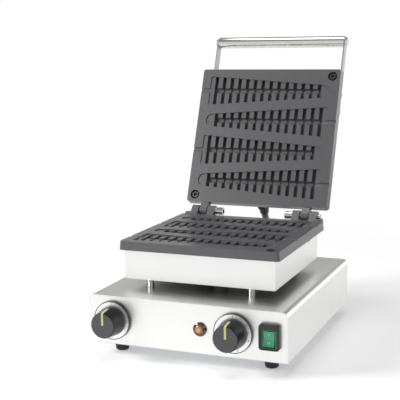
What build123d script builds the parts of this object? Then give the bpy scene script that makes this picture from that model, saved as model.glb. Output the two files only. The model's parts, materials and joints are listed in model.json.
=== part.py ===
from build123d import *
import os
from math import asin, cos, radians, sin, tan

os.makedirs("parts", exist_ok=True)

# Lollipop waffle maker, in millimetres.
# X runs to the right, Y to the rear and Z up, and the pieces are drawn about the cabinet's middle.
# The lid is drawn at its open stop, the way the cooker stands when it is filled and emptied.
# Each finished piece is then moved into the part's frame, whose origin is on the floor under
# the middle of the open cooker.
open_middle_y = 45.25
part_frame = Location((0, -open_middle_y, 0))

# Base cabinet
base_width = 300
base_depth = 330
base_bottom = 20
base_top = 90
base_sheet = 1.2
base_bend = 8
base_flange = 14
panel_gap = 0.1
tray_depth = 12
front_y = -base_depth / 2
rear_y = base_depth / 2

# Feet
foot_x = 115.7
foot_y = 129
foot_bottom_dia = 19
foot_top_dia = 24.5

# Heater box under the lower plate
box_width = 231.5
box_front = -114.5
box_rear = 104
box_bottom = 104
box_sheet = 1
box_lip = 13

# Cast cooking plates
plate_width = 243.5
plate_front = -118
plate_rear = 117
plate_bottom = 147
plate_top = 160
closed_gap = 1
rim_draft = 1.6
plate_corner = 4
plate_depth = plate_rear - plate_front
plate_thickness = plate_top - plate_bottom
block_depth = 10
block_width = 220
block_front = -108
block_rear = 100
block_chamfer = 25

# Tree-shaped moulds, four to a plate, pointing left and right by turns
mould_rows = 4
mould_pitch = 52.8
mould_half_length = 106.5
mould_wide = 51
mould_tip_radius = 11
mould_recess = 1.5
slot_count = 14
slot_pitch = 14.13
slot_width = 6.4
slot_depth = 10
slot_draft = 5
first_slot = 11.1
spine_width = 9
spine_depth = 8.3
stick_width = 7
stick_depth = 2.5

# Hinges and opening
hinge_y = 131.5
hinge_z = 164
hinge_x = 88
knuckle_radius = 8.75
lug_width = 12.5
lug_gap = 2.2
ear_width = 12
hinge_bore = 8.1
hinge_bolt = 8
open_angle = 112

# Lid cover, heights as they stand when the lid is closed
cover_width = 227
cover_front = -114
cover_rear = 113
cover_top = 212
cover_bevel = 15
cover_sheet = 1.2

# Handle, also in the closed lid's places
handle_dia = 19
handle_y = -180.8
handle_z = 197.5
arm_width = 16
arm_thickness = 2
arm_end = -44
arm_fixing_y = (-85, -56)

# Studs that clamp the plate, the box and the base together through the stand-off posts
stud_x = 78.4
stud_front = -105
stud_rear = 94.5
stud_dia = 6
post_dia = 9.5

# Front panel fittings
dial_left = -111
dial_right = 73
dial_z = 55
dial_dia = 56
knob_skirt_dia = 42.5
knob_face_dia = 37
knob_face_y = -198.4
lamp_x = 23.5
lamp_z = 54.8
switch_x = 125.1
switch_z = 55.3
switch_width = 29.5
switch_height = 36.6
switch_proud = 7.5

# Heating elements
heater_dia = 8.2
heater_groove = 8.6
heater_level = 4.7
heater_end_x = 15
heater_end_y = 80
sleeve_x = -8
bulb_x = 22
duct_y = -60

# Conduit between the base and the lid
conduit_dia = 12
conduit_bore = 8
conduit_inlet_z = 37
gland_length = 18


def lid_plane(closed_z):
    """Plane across the open lid, whose local x and y are the closed lid's at that height."""
    turn = radians(open_angle)
    across = Plane(
        origin=(0, hinge_y, hinge_z),
        x_dir=(1, 0, 0),
        z_dir=(0, sin(turn), cos(turn)),
    )
    origin = across.from_local_coords((0, -hinge_y, closed_z - hinge_z))
    return Plane(origin=origin, x_dir=across.x_dir, z_dir=across.z_dir)


def lid_side(x):
    """Plane across X in the open lid, whose local x and y are the closed lid's Y and Z."""
    across = lid_plane(0)
    origin = across.origin + Vector(x, 0, 0)
    return Plane(origin=origin, x_dir=across.y_dir, z_dir=across.x_dir)


def from_front(y):
    """Plane at depth y that faces the user, with local x to the right and local y up."""
    return Plane.XZ.offset(-y)


def add_cap_screw(seat, head_dia, head_height, shank_dia, shank_length):
    """Socket cap screw: head on the seat, shank below it, hexagon socket in the head."""
    with BuildSketch(seat) as head:
        Circle(head_dia / 2)
    extrude(head.sketch, amount=head_height)
    with BuildSketch(seat) as shank:
        Circle(shank_dia / 2)
    extrude(shank.sketch, amount=-shank_length)
    with BuildSketch(seat.offset(head_height)) as socket:
        RegularPolygon(radius=head_dia * 0.32, side_count=6)
    extrude(socket.sketch, amount=-head_height * 0.55, mode=Mode.SUBTRACT)


def add_pan_screw(seat, head_dia, head_height, shank_dia, shank_length):
    """Pan-head screw with a cross slot, its head on the seat and its shank below."""
    with BuildSketch(seat) as head:
        Circle(head_dia / 2)
    extrude(head.sketch, amount=head_height, taper=18)
    with BuildSketch(seat) as shank:
        Circle(shank_dia / 2)
    extrude(shank.sketch, amount=-shank_length)
    with BuildSketch(seat.offset(head_height)) as cross:
        Rectangle(head_dia * 0.5, head_dia * 0.12)
        Rectangle(head_dia * 0.12, head_dia * 0.5)
    extrude(cross.sketch, amount=-head_height * 0.5, mode=Mode.SUBTRACT)


def add_nut(seat, across_flats, height, bore):
    """Hexagon nut that stands on the seat."""
    with BuildSketch(seat) as nut:
        RegularPolygon(radius=across_flats / 2, side_count=6, major_radius=False)
        Circle(bore / 2, mode=Mode.SUBTRACT)
    extrude(nut.sketch, amount=height)


def dome_middle(base, apex, radius):
    """Middle point of the quarter outline of a dome, as a place along its axis and a radius."""
    way = 1 if apex > base else -1
    rise = abs(apex - base)
    sphere = (radius**2 + rise**2) / (2 * rise)
    half = asin(min(radius / sphere, 1)) / 2
    centre = apex - way * sphere
    return (centre + way * sphere * cos(half), sphere * sin(half))


def cut_moulds(face, inward):
    """Cut the four tree moulds into a plate. inward is -1 where the plate lies below the face."""
    plate_middle = (plate_front + plate_rear) / 2
    for row in range(mould_rows):
        wide_end = -1 if row % 2 == 0 else 1
        row_y = plate_middle + (row - (mould_rows - 1) / 2) * mould_pitch
        corner = 3
        with BuildSketch(face) as outline:
            wide_x = wide_end * (mould_half_length - corner)
            wide_y = mould_wide / 2 - corner
            with Locations((wide_x, row_y - wide_y), (wide_x, row_y + wide_y)):
                Circle(corner)
            with Locations((-wide_end * (mould_half_length - mould_tip_radius), row_y)):
                Circle(mould_tip_radius)
            make_hull()
        extrude(outline.sketch, amount=inward * mould_recess, mode=Mode.SUBTRACT)

        slot_x = [
            wide_end * (mould_half_length - first_slot - slot_pitch * index)
            for index in range(slot_count)
        ]
        tooth_width = slot_pitch - slot_width
        wide_cap = first_slot - slot_width / 2
        tip_cap = 2 * mould_half_length - first_slot - slot_pitch * (slot_count - 1) - slot_width / 2
        with BuildSketch(face) as slots:
            add(outline.sketch_local)
            teeth = [((near + far) / 2, row_y) for near, far in zip(slot_x, slot_x[1:])]
            with Locations(*teeth):
                Rectangle(tooth_width, mould_wide + 2, mode=Mode.SUBTRACT)
            with Locations((wide_end * (mould_half_length - wide_cap / 2), row_y)):
                Rectangle(wide_cap, mould_wide + 2, mode=Mode.SUBTRACT)
            with Locations((-wide_end * (mould_half_length - tip_cap / 2), row_y)):
                Rectangle(tip_cap, mould_wide + 2, mode=Mode.SUBTRACT)
        extrude(slots.sketch, amount=inward * slot_depth, taper=slot_draft, mode=Mode.SUBTRACT)

        # The spine joins the slots, and the stick slot runs out through the rim.
        spine_start = min(slot_x[0], slot_x[-1])
        across = Plane(
            origin=face.origin + face.x_dir * spine_start, x_dir=face.y_dir, z_dir=face.x_dir
        )
        spine_radius = spine_width / 2
        with BuildSketch(across) as spine:
            with Locations((row_y, inward * (spine_depth - spine_radius))):
                Circle(spine_radius)
            with Locations((row_y, inward * (spine_depth - spine_radius) / 2)):
                Rectangle(spine_width, spine_depth - spine_radius)
        extrude(spine.sketch, amount=abs(slot_x[0] - slot_x[-1]), mode=Mode.SUBTRACT)

        stick_radius = (stick_width**2 / 4 + stick_depth**2) / (2 * stick_depth)
        stick_run = plate_width / 2 - mould_half_length + slot_pitch
        stick_end = wide_end * (plate_width / 2 + 1)
        stick_start = min(stick_end, stick_end - wide_end * stick_run)
        across = Plane(
            origin=face.origin + face.x_dir * stick_start, x_dir=face.y_dir, z_dir=face.x_dir
        )
        with BuildSketch(across) as stick:
            with Locations((row_y, -inward * (stick_radius - stick_depth))):
                Circle(stick_radius)
        extrude(stick.sketch, amount=stick_run, mode=Mode.SUBTRACT)


def plate_outline(face, grow):
    """Rounded outline of a plate, widened by grow on every side."""
    with BuildSketch(face) as outline:
        with Locations((0, (plate_front + plate_rear) / 2)):
            RectangleRounded(plate_width + 2 * grow, plate_depth + 2 * grow, plate_corner + grow)
    return outline.sketch


def block_outline(face):
    """Outline of the thick part of a casting that holds the heating element."""
    with BuildSketch(face) as outline:
        with Locations((0, (block_front + block_rear) / 2)):
            Rectangle(block_width, block_rear - block_front)
        chamfer(outline.vertices(), length=block_chamfer)
    return outline.sketch


def heater_points(level, turned_out):
    """Route of a heating element: M-shaped in the casting, its ends turned out of it."""
    end_x = heater_end_x
    rear = heater_end_y
    outer_x = 88
    inner_x = 40
    middle = 40
    front = -85
    return [
        (-end_x, rear, level + turned_out),
        (-end_x, rear, level),
        (-outer_x, rear, level),
        (-outer_x, front, level),
        (-inner_x, front, level),
        (-inner_x, middle, level),
        (inner_x, middle, level),
        (inner_x, front, level),
        (outer_x, front, level),
        (outer_x, rear, level),
        (end_x, rear, level),
        (end_x, rear, level + turned_out),
    ]


groove_depth = heater_level + heater_groove / 2
heater_radii = [8, 14, 14, 14, 14, 14, 14, 14, 14, 8]


def heater_groove_sketch(face):
    """The groove that the heating element lies in, as a band along its flat route."""
    flat_route = [(x, y) for x, y, _ in heater_points(0, 0)[1:-1]]
    with BuildSketch(face) as groove:
        with BuildLine() as route:
            FilletPolyline(*flat_route, radius=heater_radii[1])
        trace(route.line, line_width=heater_groove)
        with Locations((-heater_end_x, heater_end_y), (heater_end_x, heater_end_y)):
            Circle(heater_groove / 2)
    return groove.sketch


# Fixings that hold the clamp plate under the castings
clamp_screws = [(-62, -50), (62, -50), (-62, 60), (62, 60)]

# Base cover: one sheet folded over the sides and the top, with flanges under its sides
with BuildPart() as base_cover:
    with BuildSketch(Plane.XY.offset(base_bottom)):
        Rectangle(base_width, base_depth)
    extrude(amount=base_top - base_bottom)
    top_sides = base_cover.edges().filter_by(Axis.Y).group_by(Axis.Z)[-1]
    fillet(top_sides, radius=base_bend)
    ends = base_cover.faces().filter_by(Axis.Y)
    underside = base_cover.faces().sort_by(Axis.Z)[0]
    offset(amount=-base_sheet, openings=[*ends, underside])
    flange_run = base_depth - 2 * (tray_depth + 2)
    with BuildSketch(Plane.XY.offset(base_bottom)):
        with GridLocations(base_width - base_flange, 0, 2, 1):
            Rectangle(base_flange, flange_run)
    extrude(amount=base_sheet)
    with BuildSketch(Plane.XY.offset(base_top)):
        with Locations((-stud_x, stud_front), (stud_x, stud_front), (-stud_x, stud_rear), (stud_x, stud_rear)):
            Circle(stud_dia / 2 + 0.3)
        with Locations((sleeve_x, duct_y)):
            Circle(8)
        with Locations((bulb_x, duct_y)):
            Circle(3)
    extrude(amount=-5, mode=Mode.SUBTRACT)
    with BuildSketch(Plane.XY.offset(base_bottom)):
        with GridLocations(286, 130, 2, 3):
            Circle(2.1)
    extrude(amount=5, mode=Mode.SUBTRACT)
base_cover.part.move(part_frame)
base_cover.part.label = "base_cover"
export_step(base_cover.part, "parts/base_cover.step")

# The front and rear panels are shallow trays that close the folded cover, flush with its ends.
tray_width = base_width - 2 * (base_sheet + panel_gap)
tray_height = base_top - base_bottom - base_sheet - panel_gap
tray_bend = base_bend - base_sheet - panel_gap
tray_z = base_bottom + tray_height / 2
tray_screws_x = (-60, 60)


def add_tray(outer_y, depth_sign):
    """Tray of sheet metal with its face at outer_y and its rim turned into the cabinet."""
    with BuildSketch(from_front(outer_y)) as face:
        with Locations((0, tray_z)):
            Rectangle(tray_width, tray_height)
        fillet(face.vertices().group_by(Axis.Y)[-1], radius=tray_bend)
    extrude(face.sketch, amount=-depth_sign * tray_depth)


with BuildPart() as front_panel:
    add_tray(front_y, 1)
    offset(amount=-base_sheet, openings=front_panel.faces().sort_by(Axis.Y)[-1])
    with BuildSketch(from_front(front_y)):
        with Locations((dial_left, dial_z), (dial_right, dial_z)):
            Circle(5.2)
        with Locations((lamp_x, lamp_z)):
            Circle(8)
        with Locations((switch_x, switch_z)):
            Rectangle(23, 31)
    extrude(amount=-base_sheet, mode=Mode.SUBTRACT)
    with BuildSketch(Plane.XY.offset(base_bottom)):
        with Locations(*[(x, front_y + 7) for x in tray_screws_x]):
            Circle(2.1)
    extrude(amount=base_sheet, mode=Mode.SUBTRACT)
front_panel.part.move(part_frame)
front_panel.part.label = "front_panel"
export_step(front_panel.part, "parts/front_panel.step")

inlet_x = -105
inlet_z = 45
with BuildPart() as rear_panel:
    add_tray(rear_y, -1)
    offset(amount=-base_sheet, openings=rear_panel.faces().sort_by(Axis.Y)[0])
    with BuildSketch(from_front(rear_y)):
        with Locations((inlet_x, inlet_z)):
            Circle(8.1)
        with Locations((0, conduit_inlet_z)):
            Circle(8.1)
        with Locations((70, dial_z)):
            with GridLocations(0, 8, 1, 5):
                SlotOverall(70, 4)
    extrude(amount=base_sheet, mode=Mode.SUBTRACT)
    with BuildSketch(Plane.XY.offset(base_bottom)):
        with Locations(*[(x, rear_y - 7) for x in tray_screws_x]):
            Circle(2.1)
    extrude(amount=base_sheet, mode=Mode.SUBTRACT)
rear_panel.part.move(part_frame)
rear_panel.part.label = "rear_panel"
export_step(rear_panel.part, "parts/rear_panel.step")

# Bottom plate under the flanges, with ventilation slots
bottom_gap = 4
foot_places = [(-foot_x, -foot_y), (foot_x, -foot_y), (-foot_x, foot_y), (foot_x, foot_y)]
with BuildPart() as bottom_plate:
    with BuildSketch(Plane.XY.offset(base_bottom)) as floor_sheet:
        RectangleRounded(base_width - 2 * bottom_gap, base_depth - 2, 4)
        with Locations(*foot_places):
            Circle(2.6, mode=Mode.SUBTRACT)
        with GridLocations(286, 130, 2, 3):
            Circle(2.1, mode=Mode.SUBTRACT)
        with GridLocations(120, base_depth - 14, 2, 2):
            Circle(2.1, mode=Mode.SUBTRACT)
        with GridLocations(100, 14, 2, 7):
            SlotOverall(60, 5, mode=Mode.SUBTRACT)
    extrude(amount=-base_sheet)
bottom_plate.part.move(part_frame)
bottom_plate.part.label = "bottom_plate"
export_step(bottom_plate.part, "parts/bottom_plate.step")

sheet_underside = base_bottom - base_sheet
with BuildPart() as bottom_screws:
    for x in (-143, 143):
        for y in (-130, 0, 130):
            seat = Plane(origin=(x, y, sheet_underside), x_dir=(1, 0, 0), z_dir=(0, 0, -1))
            add_pan_screw(seat, 7.5, 2.4, 4, 5)
    for x in tray_screws_x:
        for y in (front_y + 7, rear_y - 7):
            seat = Plane(origin=(x, y, sheet_underside), x_dir=(1, 0, 0), z_dir=(0, 0, -1))
            add_pan_screw(seat, 7.5, 2.4, 4, 5)
bottom_screws.part.move(part_frame)
bottom_screws.part.label = "bottom_screws"
export_step(bottom_screws.part, "parts/bottom_screws.step")

# Feet: tapered rubber with a counterbored hole for the screw
foot_recess = 10
with BuildPart() as feet:
    foot_height = sheet_underside
    for x, y in foot_places:
        side = Plane(origin=(x, y, 0), x_dir=(1, 0, 0), z_dir=(0, -1, 0))
        with BuildSketch(side):
            with BuildLine():
                Polyline(
                    (5.5, 0),
                    (foot_bottom_dia / 2 - 1.5, 0),
                    (foot_bottom_dia / 2, 1.5),
                    (foot_top_dia / 2, foot_height - 2),
                    (foot_top_dia / 2, foot_height),
                    (2.6, foot_height),
                    (2.6, foot_recess),
                    (5.5, foot_recess),
                    close=True,
                )
            make_face()
        revolve(axis=Axis((x, y, 0), (0, 0, 1)))
feet.part.move(part_frame)
feet.part.label = "feet"
export_step(feet.part, "parts/feet.step")

with BuildPart() as foot_fixings:
    for x, y in foot_places:
        seat = Plane(origin=(x, y, foot_recess), x_dir=(1, 0, 0), z_dir=(0, 0, -1))
        add_pan_screw(seat, 9.5, 3.2, 5, base_bottom - foot_recess + 7)
        add_nut(Plane(origin=(x, y, base_bottom)), 8, 4, 5.1)
foot_fixings.part.move(part_frame)
foot_fixings.part.label = "foot_fixings"
export_step(foot_fixings.part, "parts/foot_fixings.step")

# Stand-off posts between the base and the heater box
stud_places = [(-stud_x, stud_front), (stud_x, stud_front), (-stud_x, stud_rear), (stud_x, stud_rear)]
with BuildPart() as standoff_posts:
    with BuildSketch(Plane.XY.offset(base_top)):
        with Locations(*stud_places):
            Circle(post_dia / 2)
            Circle(stud_dia / 2 + 0.2, mode=Mode.SUBTRACT)
    extrude(amount=box_bottom - base_top)
standoff_posts.part.move(part_frame)
standoff_posts.part.label = "standoff_posts"
export_step(standoff_posts.part, "parts/standoff_posts.step")

box_screw_y = 52.6
box_screw_z = 143

# Heater box: a wrap of sheet round the sides and rear, and a front sheet over its ends
with BuildPart() as lower_box_wrap:
    wrap_front = box_front + box_sheet
    wrap_middle = (wrap_front + box_rear) / 2
    with BuildSketch(Plane.XY.offset(box_bottom)):
        with Locations((0, wrap_middle)):
            Rectangle(box_width, box_rear - wrap_front)
    extrude(amount=plate_bottom - box_bottom)
    rear_corners = lower_box_wrap.edges().filter_by(Axis.Z).group_by(Axis.Y)[-1]
    fillet(rear_corners, radius=2)
    box_top_face = lower_box_wrap.faces().sort_by(Axis.Z)[-1]
    box_front_face = lower_box_wrap.faces().sort_by(Axis.Y)[0]
    offset(amount=-box_sheet, openings=[box_top_face, box_front_face])
    with BuildSketch(Plane.XY.offset(box_bottom)):
        with Locations((0, wrap_front - 5)):
            opening_depth = box_rear - box_lip - wrap_front + 5
            Rectangle(box_width - 2 * box_lip, opening_depth, align=(Align.CENTER, Align.MIN))
        with Locations((-stud_x, stud_rear), (stud_x, stud_rear)):
            Circle(stud_dia / 2 + 0.3)
    extrude(amount=box_sheet, mode=Mode.SUBTRACT)
    with BuildSketch(Plane.YZ.offset(-box_width / 2)):
        with Locations((box_screw_y, box_screw_z)):
            Circle(2.2)
    extrude(amount=box_width, mode=Mode.SUBTRACT)
lower_box_wrap.part.move(part_frame)
lower_box_wrap.part.label = "lower_box_wrap"
export_step(lower_box_wrap.part, "parts/lower_box_wrap.step")

# The plate screw at the front right goes through a tab folded from the front sheet.
counterbore_dia = 15.5
counterbore_depth = 7.5
screw_hole = 6.6
corner_screw_x = 108.5
corner_screw_front = plate_front + 12
corner_screw_rear = plate_rear - 12
tab_width = 18
tab_depth = 15
with BuildPart() as lower_box_front:
    with BuildSketch(from_front(box_front)):
        with Locations((0, (box_bottom + plate_bottom) / 2)):
            Rectangle(box_width, plate_bottom - box_bottom)
    extrude(amount=-box_sheet)
    lip_half = box_width / 2 - box_lip - 0.3
    with BuildSketch(Plane.XY.offset(box_bottom)):
        with Locations((0, box_front)):
            Rectangle(2 * lip_half, box_lip, align=(Align.CENTER, Align.MIN))
        with Locations((-stud_x, stud_front), (stud_x, stud_front)):
            Circle(stud_dia / 2 + 0.3, mode=Mode.SUBTRACT)
    extrude(amount=box_sheet)
    with BuildSketch(Plane.XY.offset(plate_bottom)):
        with Locations((box_width / 2 - box_sheet - 0.3 - tab_width / 2, box_front + tab_depth / 2)):
            Rectangle(tab_width, tab_depth)
        with Locations((corner_screw_x, corner_screw_front)):
            Circle(screw_hole / 2, mode=Mode.SUBTRACT)
    extrude(amount=-box_sheet)
lower_box_front.part.move(part_frame)
lower_box_front.part.label = "lower_box_front"
export_step(lower_box_front.part, "parts/lower_box_front.step")

with BuildPart() as lower_box_floor:
    with BuildSketch(Plane.XY.offset(box_bottom + box_sheet)):
        with Locations((0, (box_front + box_rear) / 2)):
            Rectangle(box_width - 2 * box_sheet - 1, box_rear - box_front - 2 * box_sheet - 1)
        with Locations(*stud_places):
            Circle(stud_dia / 2 + 0.3, mode=Mode.SUBTRACT)
        with Locations((sleeve_x, duct_y)):
            Circle(8, mode=Mode.SUBTRACT)
        with Locations((bulb_x, duct_y)):
            Circle(3, mode=Mode.SUBTRACT)
    extrude(amount=box_sheet)
lower_box_floor.part.move(part_frame)
lower_box_floor.part.label = "lower_box_floor"
export_step(lower_box_floor.part, "parts/lower_box_floor.step")
floor_top = box_bottom + 2 * box_sheet

# Lower plate: one casting with its moulds, hinge ears, heater block and stud bosses
ear_offset = lug_width / 2 + lug_gap + ear_width / 2
ear_places = [side * hinge_x + step for side in (-1, 1) for step in (-ear_offset, ear_offset)]
boss_drop = 9
pad_outer_x = 118
pad_top = 162.5
block_bottom = plate_bottom - block_depth
with BuildPart() as lower_plate:
    loft([plate_outline(Plane.XY.offset(plate_top), 0), plate_outline(Plane.XY.offset(plate_bottom), rim_draft)])
    extrude(block_outline(Plane.XY.offset(plate_bottom)), amount=-block_depth)
    with BuildSketch(Plane.XY.offset(plate_bottom)):
        with Locations(*stud_places):
            Circle(6.5)
    extrude(amount=-block_depth - boss_drop)
    cut_moulds(Plane.XY.offset(plate_top), -1)
    with BuildSketch(Plane.XY.offset(plate_top)):
        with Locations((corner_screw_x, corner_screw_front)):
            Circle(counterbore_dia / 2)
    extrude(amount=-counterbore_depth, mode=Mode.SUBTRACT)
    with BuildSketch(Plane.XY.offset(plate_top)):
        with Locations((corner_screw_x, corner_screw_front)):
            Circle(screw_hole / 2)
    extrude(amount=-plate_thickness, mode=Mode.SUBTRACT)
    extrude(heater_groove_sketch(Plane.XY.offset(block_bottom)), amount=groove_depth, mode=Mode.SUBTRACT)
    for side in (-1, 1):
        with BuildSketch(Plane(origin=(side * block_width / 2, box_screw_y, box_screw_z), z_dir=(side, 0, 0))):
            Circle(2.05)
        extrude(amount=-8, mode=Mode.SUBTRACT)
    with BuildSketch(Plane.XY.offset(block_bottom)):
        with Locations((bulb_x, -17)):
            SlotOverall(100, 6.6, rotation=90)
    extrude(amount=7.5, mode=Mode.SUBTRACT)
    with BuildSketch(Plane.XY.offset(block_bottom)):
        with Locations(*clamp_screws):
            Circle(2.55)
    extrude(amount=6, mode=Mode.SUBTRACT)
    with BuildSketch(Plane.XY.offset(block_bottom - boss_drop)):
        with Locations(*stud_places):
            Circle(stud_dia / 2 + 0.05)
    extrude(amount=15, mode=Mode.SUBTRACT)
lower_plate.part.move(part_frame)
lower_plate.part.label = "lower_plate"
export_step(lower_plate.part, "parts/lower_plate.step")

# Hinge brackets at the plate's rear edge, each with two ears, a web and a pad outside them
with BuildPart() as lower_hinge_ears:
    for ear_x in ear_places:
        with BuildSketch(Plane.YZ.offset(ear_x - ear_width / 2)):
            with Locations((hinge_y, hinge_z)):
                Circle(knuckle_radius)
            with Locations((plate_rear - 1, plate_bottom + 1.5), (plate_rear - 1, plate_top - 1)):
                Circle(0.5)
            make_hull()
        extrude(amount=ear_width)
    for side in (-1, 1):
        with BuildSketch(Plane.XY.offset(plate_bottom + 1.5)):
            with Locations((side * hinge_x, plate_rear + 3)):
                Rectangle(2 * ear_offset + ear_width, 8)
        extrude(amount=8)
        with BuildSketch(Plane.YZ.offset(side * pad_outer_x)):
            with BuildLine():
                Polyline(
                    (plate_rear - 1, plate_bottom + 1.5),
                    (plate_rear - 1, plate_top - 1),
                    (plate_rear + 1.5, pad_top),
                    (plate_rear + 11, pad_top),
                    (plate_rear + 13, plate_top - 2),
                    (plate_rear + 13, plate_bottom + 1.5),
                    close=True,
                )
            make_face()
        extrude(amount=-side * (pad_outer_x - hinge_x - ear_offset))
    with BuildSketch(Plane.YZ.offset(-plate_width / 2)):
        with Locations((hinge_y, hinge_z)):
            Circle(hinge_bore / 2)
    extrude(amount=plate_width, mode=Mode.SUBTRACT)
    loft(
        [plate_outline(Plane.XY.offset(plate_top), 0), plate_outline(Plane.XY.offset(plate_bottom), rim_draft)],
        mode=Mode.SUBTRACT,
    )
lower_hinge_ears.part.move(part_frame)
lower_hinge_ears.part.label = "lower_hinge_ears"
export_step(lower_hinge_ears.part, "parts/lower_hinge_ears.step")

# Fixings of the lower plate
screw_head = 10
screw_head_height = 6
screw_dia = 6
nut_plate = (14, 12)
nut_plate_x = 105


def nut_plate_sketch(face, x, y):
    """Square nut behind a corner tab, with its thread at x and y."""
    with BuildSketch(face) as nut:
        with Locations((nut_plate_x if x > 0 else -nut_plate_x, y)):
            Rectangle(*nut_plate)
        with Locations((x, y)):
            Circle(screw_dia / 2 + 0.05, mode=Mode.SUBTRACT)
    return nut.sketch


with BuildPart() as lower_plate_fixing:
    seat = Plane(origin=(corner_screw_x, corner_screw_front, plate_top - counterbore_depth))
    add_cap_screw(seat, screw_head, screw_head_height, screw_dia, 13)
    below_tab = Plane.XY.offset(plate_bottom - box_sheet)
    extrude(nut_plate_sketch(below_tab, corner_screw_x, corner_screw_front), amount=-5)
lower_plate_fixing.part.move(part_frame)
lower_plate_fixing.part.label = "lower_plate_fixing"
export_step(lower_plate_fixing.part, "parts/lower_plate_fixing.step")

washer_height = 1.2
stud_nut_height = 5
stud_low = base_top - base_sheet - washer_height - stud_nut_height - 2
stud_high = block_bottom - boss_drop + 14
with BuildPart() as tie_studs:
    with BuildSketch(Plane.XY.offset(stud_low)):
        with Locations(*stud_places):
            Circle(stud_dia / 2)
    extrude(amount=stud_high - stud_low)
    for x, y in stud_places:
        below = Plane(origin=(x, y, base_top - base_sheet), x_dir=(1, 0, 0), z_dir=(0, 0, -1))
        with BuildSketch(below):
            Circle(6.5)
            Circle(stud_dia / 2 + 0.1, mode=Mode.SUBTRACT)
        extrude(amount=washer_height)
        add_nut(below.offset(washer_height), 10, stud_nut_height, stud_dia + 0.2)
tie_studs.part.move(part_frame)
tie_studs.part.label = "tie_studs"
export_step(tie_studs.part, "parts/tie_studs.step")

with BuildPart() as box_screws:
    for side in (-1, 1):
        seat = Plane(origin=(side * box_width / 2, box_screw_y, box_screw_z), z_dir=(side, 0, 0))
        add_pan_screw(seat, 6.5, 2, 4, 12)
box_screws.part.move(part_frame)
box_screws.part.label = "box_screws"
export_step(box_screws.part, "parts/box_screws.step")

# Heating element of the lower plate, pressed into its groove by a clamp plate
with BuildPart() as lower_heating_element:
    with BuildLine() as heater_route:
        FilletPolyline(*heater_points(block_bottom + heater_level, -20), radius=heater_radii)
    with BuildSketch(Plane(origin=heater_route.line @ 0, z_dir=heater_route.line % 0)):
        Circle(heater_dia / 2)
    sweep(path=heater_route.line)
lower_heating_element.part.move(part_frame)
lower_heating_element.part.label = "lower_heating_element"
export_step(lower_heating_element.part, "parts/lower_heating_element.step")

clamp_sheet = 1.5
clamp_outline = (186, 180)


def clamp_sketch(face):
    """Clamp plate under the heating element, open where the element's ends come out."""
    with BuildSketch(face) as clamp:
        with Locations((0, -2)):
            RectangleRounded(*clamp_outline, 6)
        with Locations((-heater_end_x, heater_end_y), (heater_end_x, heater_end_y)):
            Circle(6, mode=Mode.SUBTRACT)
        with Locations((bulb_x, duct_y)):
            Circle(3, mode=Mode.SUBTRACT)
        with Locations(*clamp_screws):
            Circle(2.7, mode=Mode.SUBTRACT)
    return clamp.sketch


with BuildPart() as lower_clamp_plate:
    extrude(clamp_sketch(Plane.XY.offset(block_bottom)), amount=-clamp_sheet)
lower_clamp_plate.part.move(part_frame)
lower_clamp_plate.part.label = "lower_clamp_plate"
export_step(lower_clamp_plate.part, "parts/lower_clamp_plate.step")

with BuildPart() as lower_clamp_screws:
    for x, y in clamp_screws:
        seat = Plane(origin=(x, y, block_bottom - clamp_sheet), x_dir=(1, 0, 0), z_dir=(0, 0, -1))
        add_pan_screw(seat, 9, 3, 5, 7)
lower_clamp_screws.part.move(part_frame)
lower_clamp_screws.part.label = "lower_clamp_screws"
export_step(lower_clamp_screws.part, "parts/lower_clamp_screws.step")

insulation_height = 18
with BuildPart() as lower_insulation:
    with BuildSketch(Plane.XY.offset(floor_top)):
        with Locations((0, -5)):
            Rectangle(*clamp_outline)
        with Locations((-heater_end_x, heater_end_y), (heater_end_x, heater_end_y)):
            Circle(8, mode=Mode.SUBTRACT)
        with Locations((sleeve_x, duct_y)):
            Circle(13, mode=Mode.SUBTRACT)
        with Locations((bulb_x, duct_y)):
            Circle(6, mode=Mode.SUBTRACT)
    extrude(amount=insulation_height - 4)
lower_insulation.part.move(part_frame)
lower_insulation.part.label = "lower_insulation"
export_step(lower_insulation.part, "parts/lower_insulation.step")

# Sensing bulb of the thermostat and its capillary, which runs down into the base
with BuildPart() as thermostat_bulb:
    level = block_bottom + 4
    with BuildSketch(from_front(30)):
        with Locations((bulb_x, level)):
            Circle(3)
    extrude(amount=80)
    with BuildLine() as capillary_route:
        FilletPolyline(
            (bulb_x, -50, level),
            (bulb_x, duct_y, level),
            (bulb_x, duct_y, 75),
            (50, -90, 62),
            (66, -108, 60),
            (66, -127, 60),
            radius=[5, 12, 12, 9],
        )
    with BuildSketch(Plane(origin=capillary_route.line @ 0, z_dir=capillary_route.line % 0)):
        Circle(0.9)
    sweep(path=capillary_route.line)
thermostat_bulb.part.move(part_frame)
thermostat_bulb.part.label = "thermostat_bulb"
export_step(thermostat_bulb.part, "parts/thermostat_bulb.step")

# Sleeves that carry the wires and the capillary across the gap between base and box
with BuildPart() as wiring_sleeve:
    with BuildSketch(Plane(origin=(sleeve_x, duct_y, 0), x_dir=(1, 0, 0), z_dir=(0, -1, 0))):
        with BuildLine():
            Polyline(
                (6, 82),
                (7.8, 82),
                (7.8, base_top),
                (11.5, base_top),
                (11.5, box_bottom + box_sheet),
                (7.8, box_bottom + box_sheet),
                (7.8, 111),
                (6, 111),
                close=True,
            )
        make_face()
    revolve(axis=Axis((sleeve_x, duct_y, 0), (0, 0, 1)))
    for low in (floor_top, base_top - base_sheet - 4):
        with BuildSketch(Plane(origin=(sleeve_x, duct_y, low))):
            RegularPolygon(radius=11, side_count=6, major_radius=False)
            Circle(7.9, mode=Mode.SUBTRACT)
        extrude(amount=4)
wiring_sleeve.part.move(part_frame)
wiring_sleeve.part.label = "wiring_sleeve"
export_step(wiring_sleeve.part, "parts/wiring_sleeve.step")

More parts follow.
